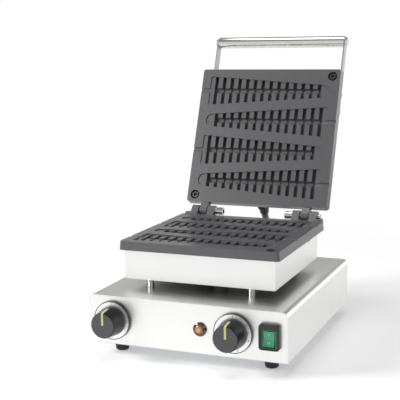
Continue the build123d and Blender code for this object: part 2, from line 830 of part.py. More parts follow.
with BuildPart() as capillary_bush:
    with BuildSketch(Plane(origin=(bulb_x, duct_y, 0), x_dir=(1, 0, 0), z_dir=(0, -1, 0))):
        with BuildLine():
            Polyline(
                (1.2, 86),
                (2.8, 86),
                (2.8, base_top),
                (4, base_top),
                (4, box_bottom + box_sheet),
                (2.8, box_bottom + box_sheet),
                (2.8, 108),
                (1.2, 108),
                close=True,
            )
        make_face()
    revolve(axis=Axis((bulb_x, duct_y, 0), (0, 0, 1)))
capillary_bush.part.move(part_frame)
capillary_bush.part.label = "capillary_bush"
export_step(capillary_bush.part, "parts/capillary_bush.step")

# Dials, knobs and what stands behind them
dial_sheet = 5
panel_back = front_y + base_sheet
shaft_dia = 6
knob_back_y = front_y - dial_sheet - 0.7
knob_depth = knob_back_y - knob_face_y
shaft_front_y = knob_face_y + 8
shaft_rear_y = panel_back + 18
pointer_width = 3.2


def add_dial(x):
    """Dial round a knob: a flat disc with a sunk ring for its face."""
    with BuildSketch(from_front(front_y)) as plate:
        with Locations((x, dial_z)):
            Circle(dial_dia / 2)
            Circle(6, mode=Mode.SUBTRACT)
    extrude(plate.sketch, amount=dial_sheet)
    with BuildSketch(from_front(front_y - dial_sheet)) as ring:
        with Locations((x, dial_z)):
            Circle(dial_dia / 2 - 1.2)
            Circle(19, mode=Mode.SUBTRACT)
    extrude(ring.sketch, amount=-0.4, mode=Mode.SUBTRACT)


def knob_pointer_face(x, width, sunk, proud):
    """Side outline of the pointer: along the face of the knob and back over its taper."""
    skirt = knob_skirt_dia / 2
    top = knob_face_dia / 2
    side = Plane(origin=(x - width / 2, 0, dial_z), x_dir=(0, 1, 0), z_dir=(1, 0, 0))
    taper_end_y = knob_face_y + 0.62 * knob_depth
    taper_end = top + 0.62 * (skirt - top)
    with BuildSketch(side) as outline:
        with BuildLine():
            Polyline(
                (knob_face_y - proud, 0.5),
                (knob_face_y - proud, top - 1.2),
                (knob_face_y + 1.2, top + proud),
                (taper_end_y, taper_end + proud),
                (taper_end_y, taper_end - sunk),
                (knob_face_y + 1.6, top - sunk),
                (knob_face_y + sunk, top - 1.6),
                (knob_face_y + sunk, 0.5),
                close=True,
            )
        make_face()
    return outline.sketch


def add_knob(x):
    """Tapered round knob with a hollow back, a hub for the shaft and a groove for its pointer."""
    half_plane = Plane(origin=(x, 0, dial_z), x_dir=(0, 1, 0), z_dir=(-1, 0, 0))
    skirt = knob_skirt_dia / 2
    top = knob_face_dia / 2
    with BuildSketch(half_plane) as profile:
        with BuildLine():
            Polyline(
                (knob_back_y, shaft_dia / 2 + 0.05),
                (knob_back_y, 8),
                (knob_back_y - 9, 8),
                (knob_back_y - 9, skirt - 4),
                (knob_back_y, skirt - 2.5),
                (knob_back_y, skirt),
                (knob_back_y - 3, skirt),
                (knob_face_y + 1.4, top),
                (knob_face_y, top - 1.4),
                (knob_face_y, 0),
                (shaft_front_y - 1, 0),
                (shaft_front_y - 1, shaft_dia / 2 + 0.05),
                close=True,
            )
        make_face()
    revolve(profile.sketch, axis=Axis((x, 0, dial_z), (0, 1, 0)))
    groove = knob_pointer_face(x, pointer_width + 0.1, 0.9, 1)
    extrude(groove, amount=pointer_width + 0.1, mode=Mode.SUBTRACT)


def add_shaft(x):
    """Control shaft that the knob is pushed on."""
    with BuildSketch(from_front(shaft_rear_y)) as section:
        with Locations((x, dial_z)):
            Circle(shaft_dia / 2)
    extrude(section.sketch, amount=shaft_rear_y - shaft_front_y)


def add_control_body(x, width, height, depth, bush_radius):
    """Body of a control behind the panel, with the bush that its shaft turns in."""
    with BuildSketch(from_front(panel_back)) as body:
        with Locations((x, dial_z)):
            RectangleRounded(width, height, 3)
    extrude(body.sketch, amount=-depth)
    with BuildSketch(from_front(panel_back)) as bush:
        with Locations((x, dial_z)):
            Circle(bush_radius)
    extrude(bush.sketch, amount=base_sheet + dial_sheet)
    with BuildSketch(from_front(panel_back + depth)) as tabs:
        with Locations((x, dial_z)):
            with GridLocations(width * 0.5, height * 0.5, 2, 2):
                Rectangle(6.3, 0.8)
    extrude(tabs.sketch, amount=-8)
    with BuildSketch(from_front(shaft_rear_y + 0.5)) as bore:
        with Locations((x, dial_z)):
            Circle(shaft_dia / 2 + 0.05)
    extrude(bore.sketch, amount=25, mode=Mode.SUBTRACT)


with BuildPart() as timer_body:
    add_control_body(dial_left, 42, 46, 38, 4.9)
timer_body.part.move(part_frame)
timer_body.part.label = "timer_body"
export_step(timer_body.part, "parts/timer_body.step")

with BuildPart() as timer_dial:
    add_dial(dial_left)
timer_dial.part.move(part_frame)
timer_dial.part.label = "timer_dial"
export_step(timer_dial.part, "parts/timer_dial.step")

with BuildPart() as timer_shaft:
    add_shaft(dial_left)
timer_shaft.part.move(part_frame)
timer_shaft.part.label = "timer_shaft"
export_step(timer_shaft.part, "parts/timer_shaft.step")

with BuildPart() as timer_knob:
    add_knob(dial_left)
timer_knob.part.move(part_frame)
timer_knob.part.label = "timer_knob"
export_step(timer_knob.part, "parts/timer_knob.step")

with BuildPart() as timer_pointer:
    extrude(knob_pointer_face(dial_left, pointer_width, 0.85, 0.15), amount=pointer_width)
timer_pointer.part.move(part_frame)
timer_pointer.part.label = "timer_pointer"
export_step(timer_pointer.part, "parts/timer_pointer.step")

with BuildPart() as thermostat_body:
    add_control_body(dial_right, 36, 38, 36, 4.9)
thermostat_body.part.move(part_frame)
thermostat_body.part.label = "thermostat_body"
export_step(thermostat_body.part, "parts/thermostat_body.step")

with BuildPart() as thermostat_dial:
    add_dial(dial_right)
thermostat_dial.part.move(part_frame)
thermostat_dial.part.label = "thermostat_dial"
export_step(thermostat_dial.part, "parts/thermostat_dial.step")

with BuildPart() as thermostat_shaft:
    add_shaft(dial_right)
thermostat_shaft.part.move(part_frame)
thermostat_shaft.part.label = "thermostat_shaft"
export_step(thermostat_shaft.part, "parts/thermostat_shaft.step")

with BuildPart() as thermostat_knob:
    add_knob(dial_right)
thermostat_knob.part.move(part_frame)
thermostat_knob.part.label = "thermostat_knob"
export_step(thermostat_knob.part, "parts/thermostat_knob.step")

with BuildPart() as thermostat_pointer:
    extrude(knob_pointer_face(dial_right, pointer_width, 0.85, 0.15), amount=pointer_width)
thermostat_pointer.part.move(part_frame)
thermostat_pointer.part.label = "thermostat_pointer"
export_step(thermostat_pointer.part, "parts/thermostat_pointer.step")

# Indicator lamp: bezel, lens and body, all round about one axis
lamp_axis = Axis((lamp_x, 0, lamp_z), (0, 1, 0))
lamp_half = Plane(origin=(lamp_x, 0, lamp_z), x_dir=(0, 1, 0), z_dir=(-1, 0, 0))
with BuildPart() as indicator_bezel:
    with BuildSketch(lamp_half):
        with BuildLine():
            Polyline(
                (front_y - 3.2, 7.2),
                (front_y - 3.2, 8),
                (front_y - 1.6, 10),
                (front_y, 10),
                (front_y, 7.9),
                (front_y + 8, 7.9),
                (front_y + 8, 7.2),
                close=True,
            )
        make_face()
    revolve(axis=lamp_axis)
indicator_bezel.part.move(part_frame)
indicator_bezel.part.label = "indicator_bezel"
export_step(indicator_bezel.part, "parts/indicator_bezel.step")

with BuildPart() as indicator_lens:
    with BuildSketch(lamp_half):
        with BuildLine():
            lens_rim = (front_y - 2.4, 7.1)
            lens_tip = (front_y - 5.8, 0)
            Polyline(lens_tip, (front_y, 0), (front_y, 7.1), lens_rim)
            ThreePointArc(lens_rim, dome_middle(lens_rim[0], lens_tip[0], 7.1), lens_tip)
        make_face()
    revolve(axis=lamp_axis)
indicator_lens.part.move(part_frame)
indicator_lens.part.label = "indicator_lens"
export_step(indicator_lens.part, "parts/indicator_lens.step")

with BuildPart() as indicator_body:
    with BuildSketch(from_front(front_y)):
        with Locations((lamp_x, lamp_z)):
            Circle(7.1)
    extrude(amount=-26)
    with BuildSketch(from_front(front_y + 26)):
        with Locations((lamp_x - 3.5, lamp_z), (lamp_x + 3.5, lamp_z)):
            Rectangle(0.8, 6.3)
    extrude(amount=-8)
indicator_body.part.move(part_frame)
indicator_body.part.label = "indicator_body"
export_step(indicator_body.part, "parts/indicator_body.step")

# Rocker switch: framed housing, translucent boot and the rocker that tips in it
boot_width = 22.6
boot_height = 28
boot_z = switch_z - 2.5
rocker_width = 15.4
rocker_height = 21
rocker_tilt = 7
rocker_y = front_y - 2
with BuildPart() as switch_housing:
    with BuildSketch(from_front(front_y)):
        with Locations((switch_x, switch_z)):
            RectangleRounded(switch_width, switch_height, 4.5)
    extrude(amount=switch_proud)
    fillet(switch_housing.faces().sort_by(Axis.Y)[0].edges(), radius=1.8)
    with BuildSketch(from_front(front_y)):
        with Locations((switch_x, switch_z)):
            Rectangle(22.6, 30.6)
    extrude(amount=-24)
    with BuildSketch(from_front(front_y - switch_proud)):
        with Locations((switch_x, boot_z)):
            RectangleRounded(boot_width, boot_height, 2.5)
    extrude(amount=-7, mode=Mode.SUBTRACT)
    with BuildSketch(from_front(front_y - switch_proud)):
        with Locations((switch_x, boot_z)):
            Rectangle(rocker_width + 1, rocker_height + 3)
    extrude(amount=-16, mode=Mode.SUBTRACT)
    with BuildSketch(from_front(front_y + 24)):
        with Locations((switch_x, switch_z)):
            with GridLocations(11, 9, 2, 3):
                Rectangle(0.8, 6.3)
    extrude(amount=-8)
switch_housing.part.move(part_frame)
switch_housing.part.label = "switch_housing"
export_step(switch_housing.part, "parts/switch_housing.step")

with BuildPart() as switch_boot:
    with BuildSketch(from_front(front_y - switch_proud + 7)):
        with Locations((switch_x, boot_z)):
            RectangleRounded(boot_width - 0.1, boot_height - 0.1, 2.45)
            Rectangle(rocker_width + 1, rocker_height + 3, mode=Mode.SUBTRACT)
    extrude(amount=5.6)
switch_boot.part.move(part_frame)
switch_boot.part.label = "switch_boot"
export_step(switch_boot.part, "parts/switch_boot.step")

with BuildPart() as power_rocker:
    tilt = radians(rocker_tilt)
    tipped = Plane(
        origin=(switch_x - rocker_width / 2, rocker_y, boot_z),
        x_dir=(0, cos(tilt), -sin(tilt)),
        z_dir=(1, 0, 0),
    )
    half = rocker_height / 2
    with BuildSketch(tipped):
        with BuildLine():
            Polyline(
                (-5.2, -half),
                (-3.6, 0),
                (-5.2, half),
                (1.5, half * 0.85),
                (4.5, 0),
                (1.5, -half * 0.85),
                close=True,
            )
        make_face()
    extrude(amount=rocker_width)
power_rocker.part.move(part_frame)
power_rocker.part.label = "power_rocker"
export_step(power_rocker.part, "parts/power_rocker.step")

# Mains inlet gland and terminal block at the rear of the base
rear_facing = Plane(origin=(inlet_x, rear_y, inlet_z), x_dir=(1, 0, 0), z_dir=(0, 1, 0))
with BuildPart() as inlet_gland:
    with BuildSketch(rear_facing):
        RegularPolygon(radius=11, side_count=6, major_radius=False)
    extrude(amount=6)
    with BuildSketch(rear_facing.offset(6)):
        Circle(10)
    extrude(amount=11, taper=12)
    with BuildSketch(rear_facing):
        Circle(8)
    extrude(amount=-10)
    with BuildSketch(rear_facing.offset(-10)):
        Circle(4.5)
    extrude(amount=27, mode=Mode.SUBTRACT)
inlet_gland.part.move(part_frame)
inlet_gland.part.label = "inlet_gland"
export_step(inlet_gland.part, "parts/inlet_gland.step")

with BuildPart() as terminal_block:
    with BuildSketch(Plane.XY.offset(base_bottom)):
        with Locations((-45, 115)):
            Rectangle(60, 22)
    extrude(amount=8)
    with BuildSketch(Plane.XY.offset(base_bottom + 8)):
        with Locations((-45, 115)):
            Rectangle(60, 14)
    extrude(amount=8)
    with BuildSketch(Plane.XY.offset(base_bottom + 16)):
        with Locations((-45, 115)):
            with GridLocations(12, 0, 5, 1):
                Circle(3)
    extrude(amount=-9, mode=Mode.SUBTRACT)
terminal_block.part.move(part_frame)
terminal_block.part.label = "terminal_block"
export_step(terminal_block.part, "parts/terminal_block.step")

# Upper plate: the lower plate's mirror casting, with lugs that turn on the hinge bolts
upper_face = plate_top + closed_gap
upper_back = upper_face + plate_thickness
upper_block_top = upper_back + block_depth
cover_inside = cover_top - cover_sheet
pillar_places = [(-101, -70), (101, -70), (-101, 65), (101, 65)]
upper_screw_places = [(corner_screw_x, corner_screw_front), (-corner_screw_x, corner_screw_rear)]
with BuildPart() as upper_plate:
    loft([plate_outline(lid_plane(upper_face), 0), plate_outline(lid_plane(upper_back), rim_draft)])
    extrude(block_outline(lid_plane(upper_back)), amount=block_depth)
    with BuildSketch(lid_plane(upper_back)):
        with Locations(*pillar_places):
            Circle(6)
    extrude(amount=cover_inside - upper_back)
    cut_moulds(lid_plane(upper_face), 1)
    with BuildSketch(lid_plane(upper_face)):
        with Locations(*upper_screw_places):
            Circle(counterbore_dia / 2)
    extrude(amount=counterbore_depth, mode=Mode.SUBTRACT)
    with BuildSketch(lid_plane(upper_face)):
        with Locations(*upper_screw_places):
            Circle(screw_hole / 2)
    extrude(amount=plate_thickness, mode=Mode.SUBTRACT)
    extrude(heater_groove_sketch(lid_plane(upper_block_top)), amount=-groove_depth, mode=Mode.SUBTRACT)
    with BuildSketch(lid_plane(upper_block_top)):
        with Locations(*clamp_screws):
            Circle(2.55)
    extrude(amount=-6, mode=Mode.SUBTRACT)
    with BuildSketch(lid_plane(cover_inside)):
        with Locations(*pillar_places):
            Circle(2.55)
    extrude(amount=-14, mode=Mode.SUBTRACT)
upper_plate.part.move(part_frame)
upper_plate.part.label = "upper_plate"
export_step(upper_plate.part, "parts/upper_plate.step")

# Hinge lugs at the lid plate's rear edge, each between the two ears of a bracket
with BuildPart() as upper_hinge_lugs:
    for side in (-1, 1):
        with BuildSketch(lid_side(side * hinge_x - lug_width / 2)):
            with Locations((hinge_y, hinge_z)):
                Circle(knuckle_radius)
            with Locations((plate_rear - 0.5, upper_back - 1.5), (plate_rear - 0.5, upper_face + 1.5)):
                Circle(0.5)
            make_hull()
        extrude(amount=lug_width)
    with BuildSketch(lid_side(-plate_width / 2)):
        with Locations((hinge_y, hinge_z)):
            Circle(hinge_bore / 2)
    extrude(amount=plate_width, mode=Mode.SUBTRACT)
    loft(
        [plate_outline(lid_plane(upper_face), 0), plate_outline(lid_plane(upper_back), rim_draft)],
        mode=Mode.SUBTRACT,
    )
upper_hinge_lugs.part.move(part_frame)
upper_hinge_lugs.part.label = "upper_hinge_lugs"
export_step(upper_hinge_lugs.part, "parts/upper_hinge_lugs.step")

with BuildPart() as upper_plate_fixings:
    for x, y in upper_screw_places:
        seat = lid_plane(upper_face + counterbore_depth)
        seat = Plane(origin=seat.from_local_coords((x, y, 0)), x_dir=seat.x_dir, z_dir=-seat.z_dir)
        add_cap_screw(seat, screw_head, screw_head_height, screw_dia, 12)
        extrude(nut_plate_sketch(lid_plane(upper_back + cover_sheet), x, y), amount=5)
upper_plate_fixings.part.move(part_frame)
upper_plate_fixings.part.label = "upper_plate_fixings"
export_step(upper_plate_fixings.part, "parts/upper_plate_fixings.step")

# Hinge bolts: heads on the inner sides, threads in the outer ears, the right one standing through
hinge_inner = hinge_x - ear_offset - ear_width / 2
hinge_outer = hinge_x + ear_offset + ear_width / 2
hinge_washer = 1.4
hinge_collar = 4
bolt_ends = {-1: -0.5, 1: 6}
with BuildPart() as hinge_bolts:
    for side, past_ear in bolt_ends.items():
        seat_x = side * (hinge_inner - hinge_washer - hinge_collar)
        seat = Plane(origin=(seat_x, hinge_y, hinge_z), z_dir=(-side, 0, 0))
        add_cap_screw(seat, 13, 8, hinge_bolt, hinge_outer + past_ear - side * seat_x)
    fillet(hinge_bolts.faces().sort_by(Axis.X)[-1].edges(), radius=3)
    for side in (-1, 1):
        inner_ear = Plane(origin=(side * hinge_inner, hinge_y, hinge_z), z_dir=(-side, 0, 0))
        for face, radius, length in (
            (inner_ear, 8, hinge_washer),
            (inner_ear.offset(hinge_washer), 6, hinge_collar),
        ):
            with BuildSketch(face):
                Circle(radius)
                Circle(hinge_bolt / 2 + 0.1, mode=Mode.SUBTRACT)
            extrude(amount=length)
hinge_bolts.part.move(part_frame)
hinge_bolts.part.label = "hinge_bolts"
export_step(hinge_bolts.part, "parts/hinge_bolts.step")

# Lid cover: one sheet folded from front to rear, with an end plate at each side
inner_half = cover_width / 2 - cover_sheet


def cover_outline(face):
    """Side outline of the lid cover."""
    with BuildSketch(face) as outline:
        with BuildLine():
            Polyline(
                (cover_front, upper_back),
                (cover_front, cover_top - cover_bevel),
                (cover_front + cover_bevel, cover_top),
                (cover_rear - cover_bevel, cover_top),
                (cover_rear, cover_top - cover_bevel),
                (cover_rear, upper_back),
                close=True,
            )
        make_face()
        upper_corners = [v for v in outline.vertices() if v.Y > upper_back + 1]
        fillet(upper_corners, radius=3)
    return outline.sketch


bevel_middle = cover_bevel / 2
lid_gland_face = Plane(
    origin=lid_plane(0).from_local_coords((0, cover_rear - bevel_middle, cover_top - bevel_middle)),
    x_dir=(1, 0, 0),
    z_dir=lid_plane(0).y_dir + lid_plane(0).z_dir,
)
with BuildPart() as upper_cover:
    extrude(cover_outline(lid_side(-inner_half)), amount=2 * inner_half)
    lid_ends = upper_cover.faces().filter_by(Axis.X)
    lid_mouth = upper_cover.faces().sort_by(Axis(lid_plane(0).origin, lid_plane(0).z_dir))[0]
    offset(amount=-cover_sheet, openings=[*lid_ends, lid_mouth])
    with BuildSketch(lid_plane(upper_back)):
        with Locations(
            (inner_half - tab_width / 2 - 0.3, cover_front + tab_depth / 2),
            (-inner_half + tab_width / 2 + 0.3, cover_rear - tab_depth / 2),
        ):
            Rectangle(tab_width, tab_depth)
        with Locations(*upper_screw_places):
            Circle(screw_hole / 2, mode=Mode.SUBTRACT)
    extrude(amount=cover_sheet)
    with BuildSketch(lid_plane(cover_top)):
        with Locations(*pillar_places):
            Circle(2.7)
    extrude(amount=-cover_sheet, mode=Mode.SUBTRACT)
    with BuildSketch(lid_gland_face):
        Circle(8.1)
    extrude(amount=-4, both=True, mode=Mode.SUBTRACT)
upper_cover.part.move(part_frame)
upper_cover.part.label = "upper_cover"
export_step(upper_cover.part, "parts/upper_cover.step")

with BuildPart() as upper_cover_sides:
    for side in (-1, 1):
        outer = side * cover_width / 2
        extrude(cover_outline(lid_side(outer)), amount=-side * cover_sheet)
        with BuildSketch(lid_side(outer)):
            with Locations(*[(y, handle_z) for y in arm_fixing_y]):
                Circle(2.6)
        extrude(amount=-side * cover_sheet, mode=Mode.SUBTRACT)
upper_cover_sides.part.move(part_frame)
upper_cover_sides.part.label = "upper_cover_sides"
export_step(upper_cover_sides.part, "parts/upper_cover_sides.step")


def add_dome_nut(seat, across_flats, bore, depth):
    """Hexagon nut with a domed cap over the end of its thread."""
    height = across_flats * 0.5
    add_nut(seat, across_flats, depth, 2 * bore)
    with BuildSketch(seat.offset(depth)) as cap:
        Circle(across_flats * 0.46)
    extrude(cap.sketch, amount=height, taper=35)


with BuildPart() as cover_fixings:
    with BuildSketch(lid_plane(cover_inside - 13)):
        with Locations(*pillar_places):
            Circle(2.5)
    extrude(amount=13 + cover_sheet + 5)
    for x, y in pillar_places:
        seat = lid_plane(cover_top)
        seat = Plane(origin=seat.from_local_coords((x, y, 0)), x_dir=seat.x_dir, z_dir=seat.z_dir)
        add_dome_nut(seat, 8, 2.55, 5.1)
cover_fixings.part.move(part_frame)
cover_fixings.part.label = "cover_fixings"
export_step(cover_fixings.part, "parts/cover_fixings.step")

# Heating element of the lid
with BuildPart() as upper_heating_element:
    level = upper_block_top - heater_level
    route_points = [lid_plane(0).from_local_coords(point) for point in heater_points(level, 20)]
    with BuildLine() as upper_route:
        FilletPolyline(*route_points, radius=heater_radii)
    with BuildSketch(Plane(origin=upper_route.line @ 0, z_dir=upper_route.line % 0)):
        Circle(heater_dia / 2)
    sweep(path=upper_route.line)
upper_heating_element.part.move(part_frame)
upper_heating_element.part.label = "upper_heating_element"
export_step(upper_heating_element.part, "parts/upper_heating_element.step")

with BuildPart() as upper_clamp_plate:
    extrude(clamp_sketch(lid_plane(upper_block_top)), amount=clamp_sheet)
upper_clamp_plate.part.move(part_frame)
upper_clamp_plate.part.label = "upper_clamp_plate"
export_step(upper_clamp_plate.part, "parts/upper_clamp_plate.step")

with BuildPart() as upper_clamp_screws:
    for x, y in clamp_screws:
        seat = lid_plane(upper_block_top + clamp_sheet)
        seat = Plane(origin=seat.from_local_coords((x, y, 0)), x_dir=seat.x_dir, z_dir=seat.z_dir)
        add_pan_screw(seat, 9, 3, 5, 7)
upper_clamp_screws.part.move(part_frame)
upper_clamp_screws.part.label = "upper_clamp_screws"
export_step(upper_clamp_screws.part, "parts/upper_clamp_screws.step")

with BuildPart() as upper_insulation:
    with BuildSketch(lid_plane(upper_block_top + clamp_sheet + 3)):
        with Locations((0, -2)):
            Rectangle(*clamp_outline)
        with Locations((-heater_end_x, heater_end_y), (heater_end_x, heater_end_y)):
            Circle(7, mode=Mode.SUBTRACT)
    extrude(amount=insulation_height)
upper_insulation.part.move(part_frame)
upper_insulation.part.label = "upper_insulation"
export_step(upper_insulation.part, "parts/upper_insulation.step")

# Handle: two flat arms on the lid's sides carry a round tube across the front
with BuildPart() as handle_arms:
    for side in (-1, 1):
        near = side * cover_width / 2
        with BuildSketch(lid_side(near)):
            arm_front = handle_y - arm_width / 2
            with Locations(((arm_front + arm_end) / 2, handle_z)):
                SlotOverall(arm_end - arm_front, arm_width)
            with Locations((handle_y, handle_z)):
                Circle(3.2, mode=Mode.SUBTRACT)
            with Locations(*[(y, handle_z) for y in arm_fixing_y]):
                Circle(2.6, mode=Mode.SUBTRACT)
        extrude(amount=side * arm_thickness)
handle_arms.part.move(part_frame)
handle_arms.part.label = "handle_arms"
export_step(handle_arms.part, "parts/handle_arms.step")

tube_wall = 1.5
plug_depth = 12
with BuildPart() as handle_tube:
    with BuildSketch(lid_side(-cover_width / 2)):
        with Locations((handle_y, handle_z)):
            Circle(handle_dia / 2)
            Circle(handle_dia / 2 - tube_wall, mode=Mode.SUBTRACT)
    extrude(amount=cover_width)
handle_tube.part.move(part_frame)
handle_tube.part.label = "handle_tube"
export_step(handle_tube.part, "parts/handle_tube.step")

with BuildPart() as handle_plugs:
    for side in (-1, 1):
        with BuildSketch(lid_side(side * cover_width / 2)):
            with Locations((handle_y, handle_z)):
                Circle(handle_dia / 2 - tube_wall - 0.05)
                Circle(3.1, mode=Mode.SUBTRACT)
        extrude(amount=-side * plug_depth)
handle_plugs.part.move(part_frame)
handle_plugs.part.label = "handle_plugs"
export_step(handle_plugs.part, "parts/handle_plugs.step")

arm_outside = cover_width / 2 + arm_thickness
with BuildPart() as handle_screws:
    for side in (-1, 1):
        origin = lid_side(side * arm_outside).from_local_coords((handle_y, handle_z, 0))
        seat = Plane(origin=origin, z_dir=(side, 0, 0))
        with BuildSketch(seat) as head:
            Circle(8)
        extrude(head.sketch, amount=3.2, taper=30)
        with BuildSketch(seat) as shank:
            Circle(3)
        extrude(shank.sketch, amount=-12)
handle_screws.part.move(part_frame)
handle_screws.part.label = "handle_screws"
export_step(handle_screws.part, "parts/handle_screws.step")

with BuildPart() as arm_fixings:
    for side in (-1, 1):
        for y in arm_fixing_y:
            origin = lid_side(side * arm_outside).from_local_coords((y, handle_z, 0))
            add_pan_screw(Plane(origin=origin, z_dir=(side, 0, 0)), 9, 2.6, 5, 9)
            origin = lid_side(side * inner_half).from_local_coords((y, handle_z, 0))
            add_nut(Plane(origin=origin, z_dir=(-side, 0, 0)), 8, 4, 5.1)
arm_fixings.part.move(part_frame)
arm_fixings.part.label = "arm_fixings"
export_step(arm_fixings.part, "parts/arm_fixings.step")


def add_gland(seat):
    """Gland that holds one end of the conduit: hexagon flange, round body and threaded neck."""
    with BuildSketch(seat) as flange:
        RegularPolygon(radius=10.5, side_count=6, major_radius=False)
    extrude(flange.sketch, amount=5)
    with BuildSketch(seat.offset(5)) as body:
        Circle(9.5)
    extrude(body.sketch, amount=gland_length - 5, taper=9)
    with BuildSketch(seat) as neck:
        Circle(8)
    extrude(neck.sketch, amount=-7)
    with BuildSketch(seat.offset(-7)) as bore:
        Circle(conduit_bore / 2)
    extrude(bore.sketch, amount=gland_length + 7, mode=Mode.SUBTRACT)


with BuildPart() as conduit_gland_lid:
    add_gland(lid_gland_face)
conduit_gland_lid.part.move(part_frame)
conduit_gland_lid.part.label = "conduit_gland_lid"
export_step(conduit_gland_lid.part, "parts/conduit_gland_lid.step")

base_gland_face = Plane(origin=(0, rear_y, conduit_inlet_z), x_dir=(1, 0, 0), z_dir=(0, 1, 0))
with BuildPart() as conduit_gland_base:
    add_gland(base_gland_face)
conduit_gland_base.part.move(part_frame)
conduit_gland_base.part.label = "conduit_gland_base"
export_step(conduit_gland_base.part, "parts/conduit_gland_base.step")

# Metal conduit that carries the lid's wires, in a loop behind the base with slack for closing
conduit_start = lid_gland_face.offset(gland_length).origin
conduit_end = base_gland_face.offset(gland_length).origin
conduit_points = [
    conduit_start,
    conduit_start + lid_gland_face.z_dir * 26,
    Vector(0, 250, 107),
    Vector(0, 262.5, 82),
    Vector(0, 256.5, 54.5),
    Vector(0, 234.5, conduit_inlet_z),
    conduit_end,
]


def bend_radii(points):
    """Largest tangent arc that the two runs beside each corner leave room for."""
    radii = []
    for before, corner, after in zip(points, points[1:], points[2:]):
        turn = radians((corner - before).get_angle(after - corner))
        shorter = min((corner - before).length, (after - corner).length)
        radii.append(0.45 * shorter / tan(turn / 2))
    return radii


conduit_radii = bend_radii(conduit_points)
print("conduit radii", [round(radius, 1) for radius in conduit_radii])
with BuildPart() as conduit:
    with BuildLine() as conduit_route:
        FilletPolyline(*conduit_points, radius=conduit_radii)
    with BuildSketch(Plane(origin=conduit_route.line @ 0, z_dir=conduit_route.line % 0)):
        Circle(conduit_dia / 2)
        Circle(conduit_bore / 2, mode=Mode.SUBTRACT)
    sweep(path=conduit_route.line)
run_lengths = [edge.length for edge in conduit_route.edges()]
print("conduit length", round(sum(run_lengths), 1))
conduit.part.move(part_frame)
conduit.part.label = "conduit"
export_step(conduit.part, "parts/conduit.step")
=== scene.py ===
"""Finishes, marks, conduit and studio of the lollipop waffle maker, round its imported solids."""

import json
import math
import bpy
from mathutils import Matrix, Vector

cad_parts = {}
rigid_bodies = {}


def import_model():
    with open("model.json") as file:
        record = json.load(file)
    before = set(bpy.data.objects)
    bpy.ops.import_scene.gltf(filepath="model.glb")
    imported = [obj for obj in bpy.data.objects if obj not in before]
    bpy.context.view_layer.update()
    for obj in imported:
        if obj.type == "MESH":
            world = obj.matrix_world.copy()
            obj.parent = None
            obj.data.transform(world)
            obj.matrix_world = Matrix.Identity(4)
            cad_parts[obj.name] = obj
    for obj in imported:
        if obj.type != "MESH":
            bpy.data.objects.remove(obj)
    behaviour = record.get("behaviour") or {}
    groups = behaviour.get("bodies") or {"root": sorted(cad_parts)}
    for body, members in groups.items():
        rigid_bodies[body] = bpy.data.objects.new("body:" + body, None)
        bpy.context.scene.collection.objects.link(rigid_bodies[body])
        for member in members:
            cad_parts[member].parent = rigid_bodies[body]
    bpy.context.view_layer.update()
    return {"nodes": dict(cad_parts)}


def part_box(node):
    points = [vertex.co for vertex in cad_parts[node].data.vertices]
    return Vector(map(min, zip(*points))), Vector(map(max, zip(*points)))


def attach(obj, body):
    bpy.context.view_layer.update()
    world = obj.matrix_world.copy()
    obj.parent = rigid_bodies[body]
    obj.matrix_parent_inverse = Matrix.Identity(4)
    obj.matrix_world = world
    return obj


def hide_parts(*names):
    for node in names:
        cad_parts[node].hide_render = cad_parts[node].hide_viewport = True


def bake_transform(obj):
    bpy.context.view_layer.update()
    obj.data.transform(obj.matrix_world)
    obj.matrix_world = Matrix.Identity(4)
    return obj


bl_info = {
    "name": "Lollipop Waffle Maker",
    "version": (1, 0, 0),
    "blender": (4, 5, 0),
    "location": "3D View > Sidebar > Waffle Maker",
    "description": "Dresses the lollipop waffle maker's solids and sets up its studio",
    "category": "Object",
}

import bpy
from mathutils import Matrix, Vector

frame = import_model()
solids = frame["nodes"]

MM = 0.001
CABINET_Y = -45.25 * MM
PANEL_Y = CABINET_Y - 165 * MM

DIAL_Z = 55 * MM
TIMER_X = -111 * MM
THERMOSTAT_X = 73 * MM
DIAL_PROUD = 4.62 * MM
RING_RADIUS = 26.9 * MM
NUMBER_RADIUS = 24.3 * MM
TICK_RADIUS = 25.7 * MM
TICK_WIDTH = 0.35 * MM
TICK_LENGTH = 1.3 * MM
TURNED_LINE_PITCH = 0.5 * MM
KNOB_FACE_PROUD = 33.2 * MM

INK_HEIGHT = 0.03 * MM
CAPITAL_SHARE = 0.7
SWITCH_MARK_HEIGHT = 3.2 * MM
BEFORE_SWITCH_Y = -0.4

LENS_RIM_PROUD = 2.4 * MM
LENS_SKIRT = 2.3 * MM


def linear(hex_code):
    """Turns an sRGB hex colour into the linear one that a shader takes."""
    parts = [int(hex_code[start : start + 2], 16) / 255 for start in (1, 3, 5)]
    return [part / 12.92 if part <= 0.04045 else ((part + 0.055) / 1.055) ** 2.4 for part in parts]


def add_node(tree, kind, settings=None, values=None, links=None):
    """Adds a shader node with its settings, socket values and incoming links."""
    made = tree.nodes.new(kind)
    for name, value in (settings or {}).items():
        setattr(made, name, value)
    for socket, value in (values or {}).items():
        made.inputs[socket].default_value = value
    for socket, source in (links or {}).items():
        tree.links.new(source, made.inputs[socket])
    return made


def new_finish(name, metallic=0.0, **sockets):
    """Starts a material with nodes, and returns it with its tree, shader and object coordinates."""
    material = bpy.data.materials.new(name)
    material.use_nodes = True
    tree = material.node_tree
    shader = tree.nodes["Principled BSDF"]
    shader.inputs["Metallic"].default_value = metallic
    for socket, value in sockets.items():
        shader.inputs[socket.replace("_", " ")].default_value = value
    place = add_node(tree, "ShaderNodeTexCoord")
    return material, tree, shader, place.outputs["Object"]


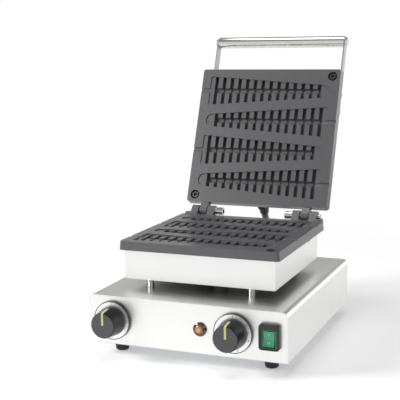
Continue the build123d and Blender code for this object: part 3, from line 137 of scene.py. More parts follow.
def give_grain(tree, shader, place, colours, cloud_mm, grain_mm, rough, depth_mm):
    """Varies a finish: its colour in soft clouds, its roughness and height in grain.

    cloud_mm and grain_mm are the pattern's real size along X, Y and Z, and rough its two limits.
    """
    cloud_scale = add_node(
        tree,
        "ShaderNodeMapping",
        values={"Scale": [1 / (size * MM) for size in cloud_mm]},
        links={"Vector": place},
    )
    cloud = add_node(
        tree,
        "ShaderNodeTexNoise",
        values={"Scale": 1.0, "Detail": 3.0},
        links={"Vector": cloud_scale.outputs["Vector"]},
    )
    tint = add_node(
        tree,
        "ShaderNodeMix",
        settings={"data_type": "RGBA"},
        values={6: [*colours[0], 1], 7: [*colours[1], 1]},
        links={0: cloud.outputs["Fac"]},
    )
    tree.links.new(tint.outputs[2], shader.inputs["Base Color"])
    grain_scale = add_node(
        tree,
        "ShaderNodeMapping",
        values={"Scale": [1 / (size * MM) for size in grain_mm]},
        links={"Vector": place},
    )
    grain = add_node(
        tree,
        "ShaderNodeTexNoise",
        values={"Scale": 1.0, "Detail": 2.0},
        links={"Vector": grain_scale.outputs["Vector"]},
    )
    spread = add_node(
        tree,
        "ShaderNodeMapRange",
        values={"From Min": 0.3, "From Max": 0.7, "To Min": rough[0], "To Max": rough[1]},
        links={"Value": grain.outputs["Fac"]},
    )
    tree.links.new(spread.outputs["Result"], shader.inputs["Roughness"])
    if depth_mm:
        relief = add_node(
            tree,
            "ShaderNodeBump",
            values={"Strength": 1.0, "Distance": depth_mm * MM},
            links={"Height": grain.outputs["Fac"]},
        )
        tree.links.new(relief.outputs["Normal"], shader.inputs["Normal"])


def dress(material, *names):
    """Gives carried-over solids their finish."""
    for name in names:
        solid = solids[name]
        solid.data.materials.clear()
        solid.data.materials.append(material)


def nothing_selected():
    """Deselects everything before a primitive is added."""
    for thing in bpy.context.view_layer.objects:
        thing.select_set(False)


def settle(piece, material, body):
    """Applies a piece's place to its mesh, gives it its finish and sets it on its body."""
    nothing_selected()
    piece.select_set(True)
    bpy.context.view_layer.objects.active = piece
    bpy.ops.object.transform_apply(location=True, rotation=True, scale=True)
    piece.data.materials.clear()
    piece.data.materials.append(material)
    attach(piece, body)


def join_as(pieces, name):
    """Joins pieces into one mesh of that name."""
    nothing_selected()
    for piece in pieces:
        piece.select_set(True)
    bpy.context.view_layer.objects.active = pieces[0]
    bpy.ops.object.join()
    joined = bpy.context.view_layer.objects.active
    joined.name = name
    joined.data.name = name
    return joined


def printed_word(word, height, place):
    """Makes a raised word in mesh, standing at place, whose local Z is the face's normal."""
    nothing_selected()
    bpy.ops.object.text_add()
    letters = bpy.context.object
    letters.data.body = word
    letters.data.size = height / CAPITAL_SHARE
    letters.data.align_x = "CENTER"
    letters.data.align_y = "CENTER"
    letters.data.extrude = INK_HEIGHT
    letters.data.resolution_u = 3
    bpy.ops.object.convert(target="MESH")
    letters = bpy.context.object
    letters.matrix_world = place
    return letters


def printed_tick(width, length, place):
    """Makes a short raised line in mesh, standing at place like a printed word."""
    nothing_selected()
    bpy.ops.mesh.primitive_plane_add(size=1)
    tick = bpy.context.object
    tick.scale = (width, length, 1)
    bpy.ops.object.transform_apply(location=False, rotation=False, scale=True)
    bpy.ops.object.mode_set(mode="EDIT")
    bpy.ops.mesh.select_all(action="SELECT")
    bpy.ops.mesh.extrude_region_move(TRANSFORM_OT_translate={"value": (0, 0, INK_HEIGHT)})
    bpy.ops.mesh.select_all(action="SELECT")
    bpy.ops.mesh.normals_make_consistent(inside=False)
    bpy.ops.object.mode_set(mode="OBJECT")
    tick.matrix_world = place
    return tick


def dial_place(dial_x, degrees, radius):
    """Place on a dial's face at that angle, clockwise from the top, upright along the radius."""
    turn = math.radians(degrees)
    face_y = PANEL_Y - DIAL_PROUD
    spot = Vector((dial_x + radius * math.sin(turn), face_y, DIAL_Z + radius * math.cos(turn)))
    upright = Matrix.Rotation(math.pi / 2, 4, "X")
    return Matrix.Translation(spot) @ Matrix.Rotation(turn, 4, "Y") @ upright


class SteelSettings(bpy.types.PropertyGroup):
    sheet: bpy.props.FloatVectorProperty(
        name="Sheet",
        description="Colour of the brushed stainless sheet",
        subtype="COLOR",
        min=0,
        max=1,
        default=linear("#E6E6E4"),
    )
    bar: bpy.props.FloatVectorProperty(
        name="Bar",
        description="Colour of the handle arms' flat bar",
        subtype="COLOR",
        min=0,
        max=1,
        default=linear("#A2A2A1"),
    )
    stain: bpy.props.FloatVectorProperty(
        name="Stain",
        description="Colour of the heat-browned floor of the lower box",
        subtype="COLOR",
        min=0,
        max=1,
        default=linear("#4A4641"),
    )
    brush_length: bpy.props.FloatProperty(
        name="Brush Mark Length",
        description="Length of the marks that brushing leaves in the sheet",
        subtype="DISTANCE",
        unit="LENGTH",
        default=60 * MM,
    )
    polished: bpy.props.FloatVectorProperty(
        name="Polished",
        description="Colour of the polished tube, posts and hinge bolts",
        subtype="COLOR",
        min=0,
        max=1,
        default=linear("#CDCDCB"),
    )
    plated: bpy.props.FloatVectorProperty(
        name="Plated",
        description="Colour of the zinc-plated screws, nuts and plates",
        subtype="COLOR",
        min=0,
        max=1,
        default=linear("#C4C6C8"),
    )


class PlateSettings(bpy.types.PropertyGroup):
    coating: bpy.props.FloatVectorProperty(
        name="Coating",
        description="Colour of the plates' non-stick coating",
        subtype="COLOR",
        min=0,
        max=1,
        default=linear("#5C5C5E"),
    )
    grain: bpy.props.FloatProperty(
        name="Casting Grain",
        description="Size of the grain that shows through the coating",
        subtype="DISTANCE",
        unit="LENGTH",
        default=1.1 * MM,
    )


class ControlSettings(bpy.types.PropertyGroup):
    knob: bpy.props.FloatVectorProperty(
        name="Knob",
        description="Colour of the control knobs",
        subtype="COLOR",
        min=0,
        max=1,
        default=linear("#121213"),
    )
    # The knobs' front face is painted lighter than their side: painted light from the front.
    painted_lit_knob_face: bpy.props.FloatVectorProperty(
        name="Knob Face",
        description="Colour of the knobs' matt front",
        subtype="COLOR",
        min=0,
        max=1,
        default=linear("#4F4E52"),
    )
    pointer: bpy.props.FloatVectorProperty(
        name="Pointer",
        description="Colour of the knobs' pointers",
        subtype="COLOR",
        min=0,
        max=1,
        default=linear("#D2D384"),
    )
    numeral_height: bpy.props.FloatProperty(
        name="Numeral Height",
        description="Height of the numbers on the dials",
        subtype="DISTANCE",
        unit="LENGTH",
        default=2.2 * MM,
    )
    lamp: bpy.props.FloatVectorProperty(
        name="Lamp",
        description="Colour of the lamp's lens",
        subtype="COLOR",
        min=0,
        max=1,
        default=linear("#9A6336"),
    )
    rocker: bpy.props.FloatVectorProperty(
        name="Rocker",
        description="Colour of the switch's rocker",
        subtype="COLOR",
        min=0,
        max=1,
        default=linear("#36B486"),
    )


class ConduitSettings(bpy.types.PropertyGroup):
    diameter: bpy.props.FloatProperty(
        name="Diameter",
        description="Outside diameter of the conduit between base and lid",
        subtype="DISTANCE",
        unit="LENGTH",
        default=12 * MM,
    )
    sleeve: bpy.props.FloatVectorProperty(
        name="Sleeve",
        description="Colour of the conduit's sleeve",
        subtype="COLOR",
        min=0,
        max=1,
        default=linear("#58585A"),
    )


class StageSettings(bpy.types.PropertyGroup):
    floor_radius: bpy.props.FloatProperty(
        name="Floor Radius",
        description="Radius of the pale floor that takes the shadow",
        subtype="DISTANCE",
        unit="LENGTH",
        default=1.0,
    )
    key_power: bpy.props.FloatProperty(
        name="Key Light",
        description="Power of the large light at the left",
        subtype="POWER",
        unit="POWER",
        default=46.0,
    )
    fill_power: bpy.props.FloatProperty(
        name="Fill Light",
        description="Power of the light at the front right",
        subtype="POWER",
        unit="POWER",
        default=3.0,
    )
    rim_power: bpy.props.FloatProperty(
        name="Rim Light",
        description="Power of the low light behind the right side",
        subtype="POWER",
        unit="POWER",
        default=3.0,
    )
    top_power: bpy.props.FloatProperty(
        name="Top Light",
        description="Power of the light overhead",
        subtype="POWER",
        unit="POWER",
        default=13.5,
    )
    lens: bpy.props.FloatProperty(
        name="Focal Length",
        description="Focal length of the camera in millimetres",
        default=86.06,
    )


class WAFFLE_OT_sheet_steel(bpy.types.Operator):
    """Brushes the stainless sheets and plates the ones inside"""

    bl_idname = "waffle.sheet_steel"
    bl_label = "Sheet Steel"

    def execute(self, context):
        settings = context.scene.waffle_steel
        # Brushed 304 stainless: long fine marks along the width blur what it mirrors along them.
        brushed, tree, shader, place = new_finish("brushed_304_stainless_sheet", metallic=1.0)
        sheet = list(settings.sheet)
        give_grain(
            tree,
            shader,
            place,
            colours=(sheet, [part * 0.95 for part in sheet]),
            cloud_mm=(140, 90, 90),
            grain_mm=(settings.brush_length / MM, 0.8, 0.8),
            rough=(0.32, 0.4),
            depth_mm=0.001,
        )
        dress(
            brushed,
            "base_cover",
            "front_panel",
            "rear_panel",
            "lower_box_wrap",
            "lower_box_front",
            "upper_cover",
            "upper_cover_sides",
        )
        # Stainless flat bar with its darker mill finish.
        mill, tree, shader, place = new_finish("mill_finish_304_flat_bar", metallic=1.0)
        bar = list(settings.bar)
        give_grain(
            tree,
            shader,
            place,
            colours=(bar, [part * 0.85 for part in bar]),
            cloud_mm=(20, 40, 60),
            grain_mm=(0.8, 0.8, settings.brush_length / MM),
            rough=(0.3, 0.4),
            depth_mm=0.001,
        )
        dress(mill, "handle_arms")
        # Aluminised steel under the heater, browned and dulled by its heat.
        browned, tree, shader, place = new_finish("heat_browned_aluminised_steel", metallic=1.0)
        stain = list(settings.stain)
        give_grain(
            tree,
            shader,
            place,
            colours=(stain, [part * 0.7 for part in stain]),
            cloud_mm=(60, 60, 60),
            grain_mm=(2, 2, 2),
            rough=(0.4, 0.52),
            depth_mm=0.004,
        )
        dress(browned, "lower_box_floor")
        # Zinc-plated mild steel: a dull grey with faint spangle and soft reflections.
        plated, tree, shader, place = new_finish("zinc_plated_steel_sheet", metallic=1.0)
        zinc = list(settings.plated)
        give_grain(
            tree,
            shader,
            place,
            colours=(zinc, [part * 0.82 for part in zinc]),
            cloud_mm=(9, 9, 9),
            grain_mm=(2, 2, 2),
            rough=(0.34, 0.46),
            depth_mm=0.004,
        )
        dress(plated, "bottom_plate", "lower_clamp_plate", "upper_clamp_plate")
        return {"FINISHED"}


class WAFFLE_OT_cast_plates(bpy.types.Operator):
    """Coats the two cast plates"""

    bl_idname = "waffle.cast_plates"
    bl_label = "Cast Plates"

    def execute(self, context):
        settings = context.scene.waffle_plates
        # Sand-cast aluminium under a grey non-stick coating: satin, and the sand's grain shows.
        coated, tree, shader, place = new_finish("non_stick_coated_cast_aluminium", IOR=1.6)
        coating = list(settings.coating)
        size = settings.grain / MM
        give_grain(
            tree,
            shader,
            place,
            colours=(coating, [part * 0.8 for part in coating]),
            cloud_mm=(5, 5, 5),
            grain_mm=(size, size, size),
            rough=(0.28, 0.4),
            depth_mm=0.08,
        )
        dress(coated, "lower_plate", "upper_plate", "lower_hinge_ears", "upper_hinge_lugs")
        return {"FINISHED"}


class WAFFLE_OT_bright_metal(bpy.types.Operator):
    """Polishes the handle tube, posts and hinge bolts and plates the screws and nuts"""

    bl_idname = "waffle.bright_metal"
    bl_label = "Bright Metal"

    def execute(self, context):
        settings = context.scene.waffle_steel
        # Polished 304 stainless tube and bar: a clear mirror, a little duller in long patches.
        polished, tree, shader, place = new_finish("polished_304_stainless", metallic=1.0)
        bright = list(settings.polished)
        give_grain(
            tree,
            shader,
            place,
            colours=(bright, [part * 0.95 for part in bright]),
            cloud_mm=(60, 20, 20),
            grain_mm=(120, 6, 6),
            rough=(0.08, 0.14),
            depth_mm=0,
        )
        dress(polished, "handle_tube", "hinge_bolts")
        # Turned 304 stainless posts: greyer and softer than the tube.
        turned, tree, shader, place = new_finish("turned_304_stainless", metallic=1.0)
        give_grain(
            tree,
            shader,
            place,
            colours=(linear("#A8A8A6"), linear("#8E8E8C")),
            cloud_mm=(6, 6, 10),
            grain_mm=(8, 8, 2),
            rough=(0.18, 0.26),
            depth_mm=0,
        )
        dress(turned, "standoff_posts")
        # Bright zinc plating on screws: grey steel with a soft sheen.
        plated, tree, shader, place = new_finish("zinc_plated_fastener_steel", metallic=1.0)
        zinc = list(settings.plated)
        give_grain(
            tree,
            shader,
            place,
            colours=(zinc, [part * 0.88 for part in zinc]),
            cloud_mm=(5, 5, 5),
            grain_mm=(0.6, 0.6, 0.6),
            rough=(0.22, 0.34),
            depth_mm=0.003,
        )
        dress(
            plated,
            "bottom_screws",
            "foot_fixings",
            "tie_studs",
            "box_screws",
            "lower_clamp_screws",
            "upper_clamp_screws",
            "cover_fixings",
            "arm_fixings",
            "handle_screws",
            "timer_shaft",
            "thermostat_shaft",
        )
        # Screws in the plates: steel, coloured dark grey as painted shade of the recesses they sit
        # in.
        recess_shaded, tree, shader, place = new_finish("recess_shaded_steel_screws", metallic=1.0)
        give_grain(
            tree,
            shader,
            place,
            colours=(linear("#5A5957"), linear("#474542")),
            cloud_mm=(4, 4, 4),
            grain_mm=(0.6, 0.6, 0.6),
            rough=(0.35, 0.5),
            depth_mm=0.005,
        )
        dress(recess_shaded, "upper_plate_fixings", "lower_plate_fixing")
        return {"FINISHED"}


class WAFFLE_OT_knobs(bpy.types.Operator):
    """Finishes the control knobs and their pointers"""

    bl_idname = "waffle.knobs"
    bl_label = "Knobs"

    def execute(self, context):
        settings = context.scene.waffle_controls
        # Moulded phenolic: near black and glossy at the side, with a matt, eroded front face
        # painted lighter grey as painted light falling on it from the front.
        phenolic, tree, shader, place = new_finish(
            "moulded_black_phenolic", IOR=1.55, Specular_IOR_Level=0.35
        )
        knob = list(settings.knob)
        give_grain(
            tree,
            shader,
            place,
            colours=(knob, [part * 0.85 for part in knob]),
            cloud_mm=(12, 12, 12),
            grain_mm=(0.5, 0.5, 0.5),
            rough=(0.26, 0.36),
            depth_mm=0.012,
        )
        # Mask of the front face, which is made matt and painted lighter grey as painted light from
        # the front.
        depth = add_node(tree, "ShaderNodeSeparateXYZ", links={"Vector": place})
        face = add_node(
            tree,
            "ShaderNodeMath",
            settings={"operation": "LESS_THAN"},
            values={1: PANEL_Y - KNOB_FACE_PROUD},
            links={0: depth.outputs["Y"]},
        )
        matt_and_painted_lit_face = {"Base Color": [*settings.painted_lit_knob_face, 1], "Roughness": [0.55, 0.55, 0.55, 1]}
        for socket, matt in matt_and_painted_lit_face.items():
            grain = shader.inputs[socket].links[0].from_socket
            mixed = add_node(
                tree,
                "ShaderNodeMix",
                settings={"data_type": "RGBA"},
                values={7: matt},
                links={0: face.outputs["Value"], 6: grain},
            )
            tree.links.new(mixed.outputs[2], shader.inputs[socket])
        dress(phenolic, "timer_knob", "thermostat_knob")
        # Moulded ABS inlay: pale yellow, smooth and a little glossy.
        inlay, tree, shader, place = new_finish("pale_yellow_abs_inlay", IOR=1.53)
        pointer = list(settings.pointer)
        give_grain(
            tree,
            shader,
            place,
            colours=(pointer, [part * 0.94 for part in pointer]),
            cloud_mm=(6, 6, 6),
            grain_mm=(0.8, 0.8, 0.8),
            rough=(0.3, 0.4),
            depth_mm=0.004,
        )
        dress(inlay, "timer_pointer", "thermostat_pointer")
        return {"FINISHED"}


class WAFFLE_OT_dials(bpy.types.Operator):
    """Finishes the dials and prints their scales"""

    bl_idname = "waffle.dials"
    bl_label = "Dials"

    def execute(self, context):
        settings = context.scene.waffle_controls
        for name, dial_x in (("timer", TIMER_X), ("thermostat", THERMOSTAT_X)):
            # Spun aluminium ring in a black disc: its turned lines fan its sheen round the knob.
            metal, tree, shader, place = new_finish(name + "_spun_aluminium_dial")
            centred = add_node(
                tree,
                "ShaderNodeMapping",
                values={"Location": (-dial_x, 0, -DIAL_Z), "Scale": (1, 0, 1)},
                links={"Vector": place},
            )
            radius = add_node(
                tree,
                "ShaderNodeVectorMath",
                settings={"operation": "LENGTH"},
                links={0: centred.outputs["Vector"]},
            )
            inside = add_node(
                tree,
                "ShaderNodeMath",
                settings={"operation": "LESS_THAN"},
                values={1: RING_RADIUS},
                links={0: radius.outputs["Value"]},
            )
            ring = add_node(
                tree,
                "ShaderNodeMix",
                settings={"data_type": "RGBA"},
                values={6: [*linear("#0B0B0C"), 1], 7: [*linear("#EDEDEE"), 1]},
                links={0: inside.outputs["Value"]},
            )
            tree.links.new(ring.outputs[2], shader.inputs["Base Color"])
            tree.links.new(inside.outputs["Value"], shader.inputs["Metallic"])
            turned = add_node(
                tree,
                "ShaderNodeMath",
                settings={"operation": "MULTIPLY"},
                values={1: 2 * math.pi / TURNED_LINE_PITCH},
                links={0: radius.outputs["Value"]},
            )
            line = add_node(
                tree,
                "ShaderNodeMath",
                settings={"operation": "SINE"},
                links={0: turned.outputs["Value"]},
            )
            relief = add_node(
                tree,
                "ShaderNodeBump",
                values={"Strength": 1.0, "Distance": 0.006 * MM},
                links={"Height": line.outputs["Value"]},
            )
            tree.links.new(relief.outputs["Normal"], shader.inputs["Normal"])
            shader.inputs["Roughness"].default_value = 0.34
            dress(metal, name + "_dial")

        # Screen-printed epoxy ink: flat and black.
        ink, tree, shader, place = new_finish("black_printing_ink", IOR=1.5)
        give_grain(
            tree,
            shader,
            place,
            colours=(linear("#1B1B1C"), linear("#252526")),
            cloud_mm=(2, 2, 2),
            grain_mm=(0.3, 0.3, 0.3),
            rough=(0.5, 0.65),
            depth_mm=0,
        )
        height = settings.numeral_height
        scales = (
            ("timer", TIMER_X, ["0", "1", "2", "3", "4", "5"], 300),
            ("thermostat", THERMOSTAT_X, ["0", "50", "100", "150", "200", "250"], 270),
        )
        for name, dial_x, numbers, sweep in scales:
            step = sweep / (len(numbers) - 1)
            marks = []
            for index, number in enumerate(numbers):
                place = dial_place(dial_x, index * step, NUMBER_RADIUS)
                marks.append(printed_word(number, height, place))
                if index:
                    for part in (0.25, 0.5, 0.75):
                        place = dial_place(dial_x, (index - part) * step, TICK_RADIUS)
                        marks.append(printed_tick(TICK_WIDTH, TICK_LENGTH, place))
            settle(join_as(marks, name + "_dial_marks"), ink, "base")
        return {"FINISHED"}


class WAFFLE_OT_lamp(bpy.types.Operator):
    """Cuts the lamp's faceted lens and finishes its rim"""

    bl_idname = "waffle.lamp"
    bl_label = "Indicator Lamp"

    def execute(self, context):
        settings = context.scene.waffle_controls
        low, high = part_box("indicator_lens")
        middle = (low + high) / 2
        radius = (high.x - low.x) / 2
        rim_y = PANEL_Y - LENS_RIM_PROUD
        nothing_selected()
        bpy.ops.mesh.primitive_uv_sphere_add(segments=18, ring_count=8, radius=radius)
        lens = bpy.context.object
        lens.name = "indicator_faceted_lens"
        lens.matrix_world = (
            Matrix.Translation((middle.x, rim_y, middle.z))
            @ Matrix.Diagonal((1, (rim_y - low.y) / radius, 1, 1))
            @ Matrix.Rotation(math.pi / 2, 4, "X")
        )
        bpy.ops.object.transform_apply(location=True, rotation=True, scale=True)
        bpy.ops.object.mode_set(mode="EDIT")
        bpy.ops.mesh.select_all(action="SELECT")
        bpy.ops.mesh.bisect(
            plane_co=(middle.x, rim_y, middle.z),
            plane_no=(0, 1, 0),
            use_fill=True,
            clear_outer=True,
        )
        bpy.ops.mesh.select_all(action="DESELECT")
        bpy.ops.object.mode_set(mode="OBJECT")
        for face in lens.data.polygons:
            face.select = face.normal.y > 0.99
        bpy.ops.object.mode_set(mode="EDIT")
        bpy.ops.mesh.extrude_region_move(TRANSFORM_OT_translate={"value": (0, LENS_SKIRT, 0)})
        bpy.ops.mesh.select_all(action="SELECT")
        bpy.ops.mesh.normals_make_consistent(inside=False)
        bpy.ops.object.mode_set(mode="OBJECT")
        # Amber polycarbonate lens: clear, faceted and lit from behind by its neon lamp; its lighter
        # middle is a painted glow mixed into its colour.
        amber, tree, shader, place = new_finish(
            "amber_polycarbonate_lens", IOR=1.58, Transmission_Weight=0.15, Emission_Strength=0.05
        )
        lamp = list(settings.lamp)
        shader.inputs["Emission Color"].default_value = [*lamp, 1]
        give_grain(
            tree,
            shader,
            place,
            colours=(lamp, [part * 0.8 for part in lamp]),
            cloud_mm=(4, 4, 9),
            grain_mm=(1, 1, 1),
            rough=(0.08, 0.16),
            depth_mm=0,
        )
        # Painted glow and highlight: the colour lightens from the rim towards the lens's middle.
        centred = add_node(
            tree,
            "ShaderNodeMapping",
            values={"Location": (-middle.x, 0, -middle.z), "Scale": (1, 0, 1)},
            links={"Vector": place},
        )
        away = add_node(
            tree,
            "ShaderNodeVectorMath",
            settings={"operation": "LENGTH"},
            links={0: centred.outputs["Vector"]},
        )
        glow = add_node(
            tree,
            "ShaderNodeMapRange",
            settings={"interpolation_type": "SMOOTHSTEP"},
            values={"From Min": 1 * MM, "From Max": 0.9 * radius, "To Min": 1.0, "To Max": 0.0},
            links={"Value": away.outputs["Value"]},
        )
        warm = shader.inputs["Base Color"].links[0].from_socket
        lit = add_node(
            tree,
            "ShaderNodeMix",
            settings={"data_type": "RGBA"},
            values={7: [*linear("#E6BC84"), 1]},
            links={0: glow.outputs["Result"], 6: warm},
        )
        tree.links.new(lit.outputs[2], shader.inputs["Base Color"])
        settle(lens, amber, "base")
        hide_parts("indicator_lens")
        # Chromed brass rim: a narrow ring, coloured dark brownish grey all round as painted
        # reflection of the lens it faces.
        rim, tree, shader, place = new_finish("chromed_brass_rim", metallic=1.0)
        give_grain(
            tree,
            shader,
            place,
            colours=(linear("#6E655B"), linear("#544D46")),
            cloud_mm=(6, 6, 6),
            grain_mm=(0.6, 0.6, 0.6),
            rough=(0.12, 0.2),
            depth_mm=0,
        )
        dress(rim, "indicator_bezel")
        return {"FINISHED"}


class WAFFLE_OT_switch(bpy.types.Operator):
    """Finishes the rocker switch and marks its two ends"""

    bl_idname = "waffle.switch"
    bl_label = "Rocker Switch"

    def execute(self, context):
        settings = context.scene.waffle_controls
        green = list(settings.rocker)
        # Translucent green polycarbonate: glossy, its green a little deeper in soft clouds.
        tinted, tree, shader, place = new_finish(
            "translucent_green_polycarbonate", IOR=1.58, Transmission_Weight=0.15, Coat_Weight=0.2
        )
        give_grain(
            tree,
            shader,
            place,
            colours=(green, [part * 0.82 for part in green]),
            cloud_mm=(9, 9, 14),
            grain_mm=(0.8, 0.8, 0.8),
            rough=(0.18, 0.26),
            depth_mm=0.003,
        )
        dress(tinted, "power_rocker")
        # Clear silicone cover: milky, and tinted by the rocker beneath it.
        silicone, tree, shader, place = new_finish(
            "clear_silicone_rubber", IOR=1.41, Transmission_Weight=0.25
        )
        give_grain(
            tree,
            shader,
            place,
            colours=(linear("#4A8C6E"), linear("#3E775E")),
            cloud_mm=(10, 10, 10),
            grain_mm=(0.7, 0.7, 0.7),
            rough=(0.22, 0.32),
            depth_mm=0.005,
        )
        dress(silicone, "switch_boot")
        # White pad-printed ink on the rocker's two ends.
        ink, tree, shader, place = new_finish("white_printing_ink", IOR=1.5)
        give_grain(
            tree,
            shader,
            place,
            colours=(linear("#F0FAF5"), linear("#E2F2EA")),
            cloud_mm=(2, 2, 2),
            grain_mm=(0.3, 0.3, 0.3),
            rough=(0.45, 0.6),
            depth_mm=0,
        )
        rocker = solids["power_rocker"]
        low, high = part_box("power_rocker")
        marks = []
        for word, share in (("I", 0.76), ("O", 0.24)):
            height = low.z + share * (high.z - low.z)
            middle_x = (low.x + high.x) / 2
            start = Vector((middle_x, BEFORE_SWITCH_Y, height))
            found, spot, normal, _ = rocker.ray_cast(start, Vector((0, 1, 0)))
            if not found:
                raise RuntimeError("the rocker has no face at the height of its mark " + word)
            right = Vector((1, 0, 0))
            up = normal.cross(right).normalized()
            stand = Matrix((right, up, normal)).transposed().to_4x4()
            stand = Matrix.Translation(spot) @ stand
            marks.append(printed_word(word, SWITCH_MARK_HEIGHT, stand))
        settle(join_as(marks, "rocker_marks"), ink, "rocker")
        return {"FINISHED"}


class WAFFLE_OT_mouldings(bpy.types.Operator):
    """Finishes the rubber feet, the nylon glands, plugs and housings"""

    bl_idname = "waffle.mouldings"
    bl_label = "Rubber and Nylon"

    def execute(self, context):
        # Moulded nitrile rubber: black and matt, with a little bloom.
        rubber, tree, shader, place = new_finish("moulded_nitrile_rubber", IOR=1.5)
        give_grain(
            tree,
            shader,
            place,
            colours=(linear("#111112"), linear("#1A1A1B")),
            cloud_mm=(8, 8, 8),
            grain_mm=(0.7, 0.7, 0.7),
            rough=(0.5, 0.68),
            depth_mm=0.02,
        )
        dress(rubber, "feet")
        # Injection-moulded black nylon: satin with a fine eroded texture.
        nylon, tree, shader, place = new_finish("moulded_black_nylon", IOR=1.53)
        give_grain(
            tree,
            shader,
            place,
            colours=(linear("#131314"), linear("#1B1B1C")),
            cloud_mm=(9, 9, 9),
            grain_mm=(0.5, 0.5, 0.5),
            rough=(0.28, 0.42),
            depth_mm=0.01,
        )
        dress(
            nylon,
            "switch_housing",
            "inlet_gland",
            "conduit_gland_lid",
            "conduit_gland_base",
            "handle_plugs",
            "wiring_sleeve",
            "capillary_bush",
            "timer_body",
            "thermostat_body",
            "indicator_body",
        )
        return {"FINISHED"}


class WAFFLE_OT_heating(bpy.types.Operator):
    """Finishes the elements, insulation, bulb and terminals inside"""

    bl_idname = "waffle.heating"
    bl_label = "Heating Parts"

    def execute(self, context):
        # Incoloy heater sheath: matt, browned by annealing.
        sheath, tree, shader, place = new_finish("annealed_incoloy_sheath", metallic=1.0)
        give_grain(
            tree,
            shader,
            place,
            colours=(linear("#8A8078"), linear("#6B625C")),
            cloud_mm=(18, 18, 18),
            grain_mm=(1, 1, 1),
            rough=(0.42, 0.55),
            depth_mm=0.006,
        )
        dress(sheath, "lower_heating_element", "upper_heating_element")
        # Drawn copper: warm and slightly tarnished.
        copper, tree, shader, place = new_finish("drawn_copper_tube", metallic=1.0)
        give_grain(
            tree,
            shader,
            place,
            colours=(linear("#C98B68"), linear("#A8694B")),
            cloud_mm=(12, 12, 12),
            grain_mm=(1, 1, 1),
            rough=(0.25, 0.4),
            depth_mm=0.004,
        )
        dress(copper, "thermostat_bulb")
        # Ceramic fibre blanket: white, felted and matt.
        blanket, tree, shader, place = new_finish(
            "ceramic_fibre_blanket", IOR=1.5, Sheen_Weight=0.3
        )
        give_grain(
            tree,
            shader,
            place,
            colours=(linear("#EFECE3"), linear("#DDD9CC")),
            cloud_mm=(10, 10, 4),
            grain_mm=(2.5, 2.5, 0.8),
            rough=(0.85, 0.98),
            depth_mm=0.5,
        )
        dress(blanket, "lower_insulation", "upper_insulation")
        # Natural nylon terminal block: milky white and waxy.
        block, tree, shader, place = new_finish(
            "natural_nylon_block", IOR=1.53, Subsurface_Weight=0.15
        )
        give_grain(
            tree,
            shader,
            place,
            colours=(linear("#E4DFD0"), linear("#D8D2C1")),
            cloud_mm=(8, 8, 8),
            grain_mm=(0.8, 0.8, 0.8),
            rough=(0.35, 0.5),
            depth_mm=0.01,
        )
        dress(block, "terminal_block")
        return {"FINISHED"}


class WAFFLE_OT_conduit(bpy.types.Operator):
    """Runs the conduit from the lid down to the base"""

    bl_idname = "waffle.conduit"
    bl_label = "Conduit"

    def execute(self, context):
        settings = context.scene.waffle_conduit
        route_mm = [
            (185.82, 156.37),
            (195.98, 132.43),
            (250, 107),
            (262.5, 82),
            (256.5, 54.5),
            (234.5, 37),
            (183, 37),
        ]
        line = bpy.data.curves.new("conduit_line", "CURVE")
        line.dimensions = "3D"
        spline = line.splines.new("NURBS")
        spline.points.add(len(route_mm) - 1)
        for point, (y, z) in zip(spline.points, route_mm):
            point.co = (0, CABINET_Y + y * MM, z * MM, 1)
        spline.order_u = 3
        spline.use_endpoint_u = True
        spline.resolution_u = 12
        run = bpy.data.objects.new("lid_conduit", line)
        context.scene.collection.objects.link(run)
        context.view_layer.update()
        bare = bpy.data.meshes.new_from_object(run)
        bpy.data.meshes.remove(bare)
        line.bevel_depth = settings.diameter / 2
        line.bevel_resolution = 8
        line.use_fill_caps = True
        nothing_selected()
        run.select_set(True)
        context.view_layer.objects.active = run
        bpy.ops.object.convert(target="MESH")
        conduit = context.object
        conduit.name = "lid_conduit"
        bpy.ops.object.mode_set(mode="EDIT")
        bpy.ops.mesh.select_all(action="SELECT")
        bpy.ops.mesh.remove_doubles(threshold=0.01 * MM)
        bpy.ops.mesh.normals_make_consistent(inside=False)
        bpy.ops.object.mode_set(mode="OBJECT")
        bpy.ops.object.shade_smooth_by_angle(angle=math.radians(40))
        # Varnished glass-fibre sleeving: grey, with its close knit under a clear gloss.
        sleeving, tree, shader, place = new_finish(
            "varnished_glass_fibre_sleeving", IOR=1.52, Coat_Weight=0.6
        )
        sleeve = list(settings.sleeve)
        give_grain(
            tree,
            shader,
            place,
            colours=(sleeve, [part * 0.8 for part in sleeve]),
            cloud_mm=(3, 3, 3),
            grain_mm=(0.9, 0.9, 0.9),
            rough=(0.2, 0.3),
            depth_mm=0.03,
        )
        conduit.data.materials.clear()
        conduit.data.materials.append(sleeving)
        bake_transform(conduit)
        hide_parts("conduit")
        return {"FINISHED"}


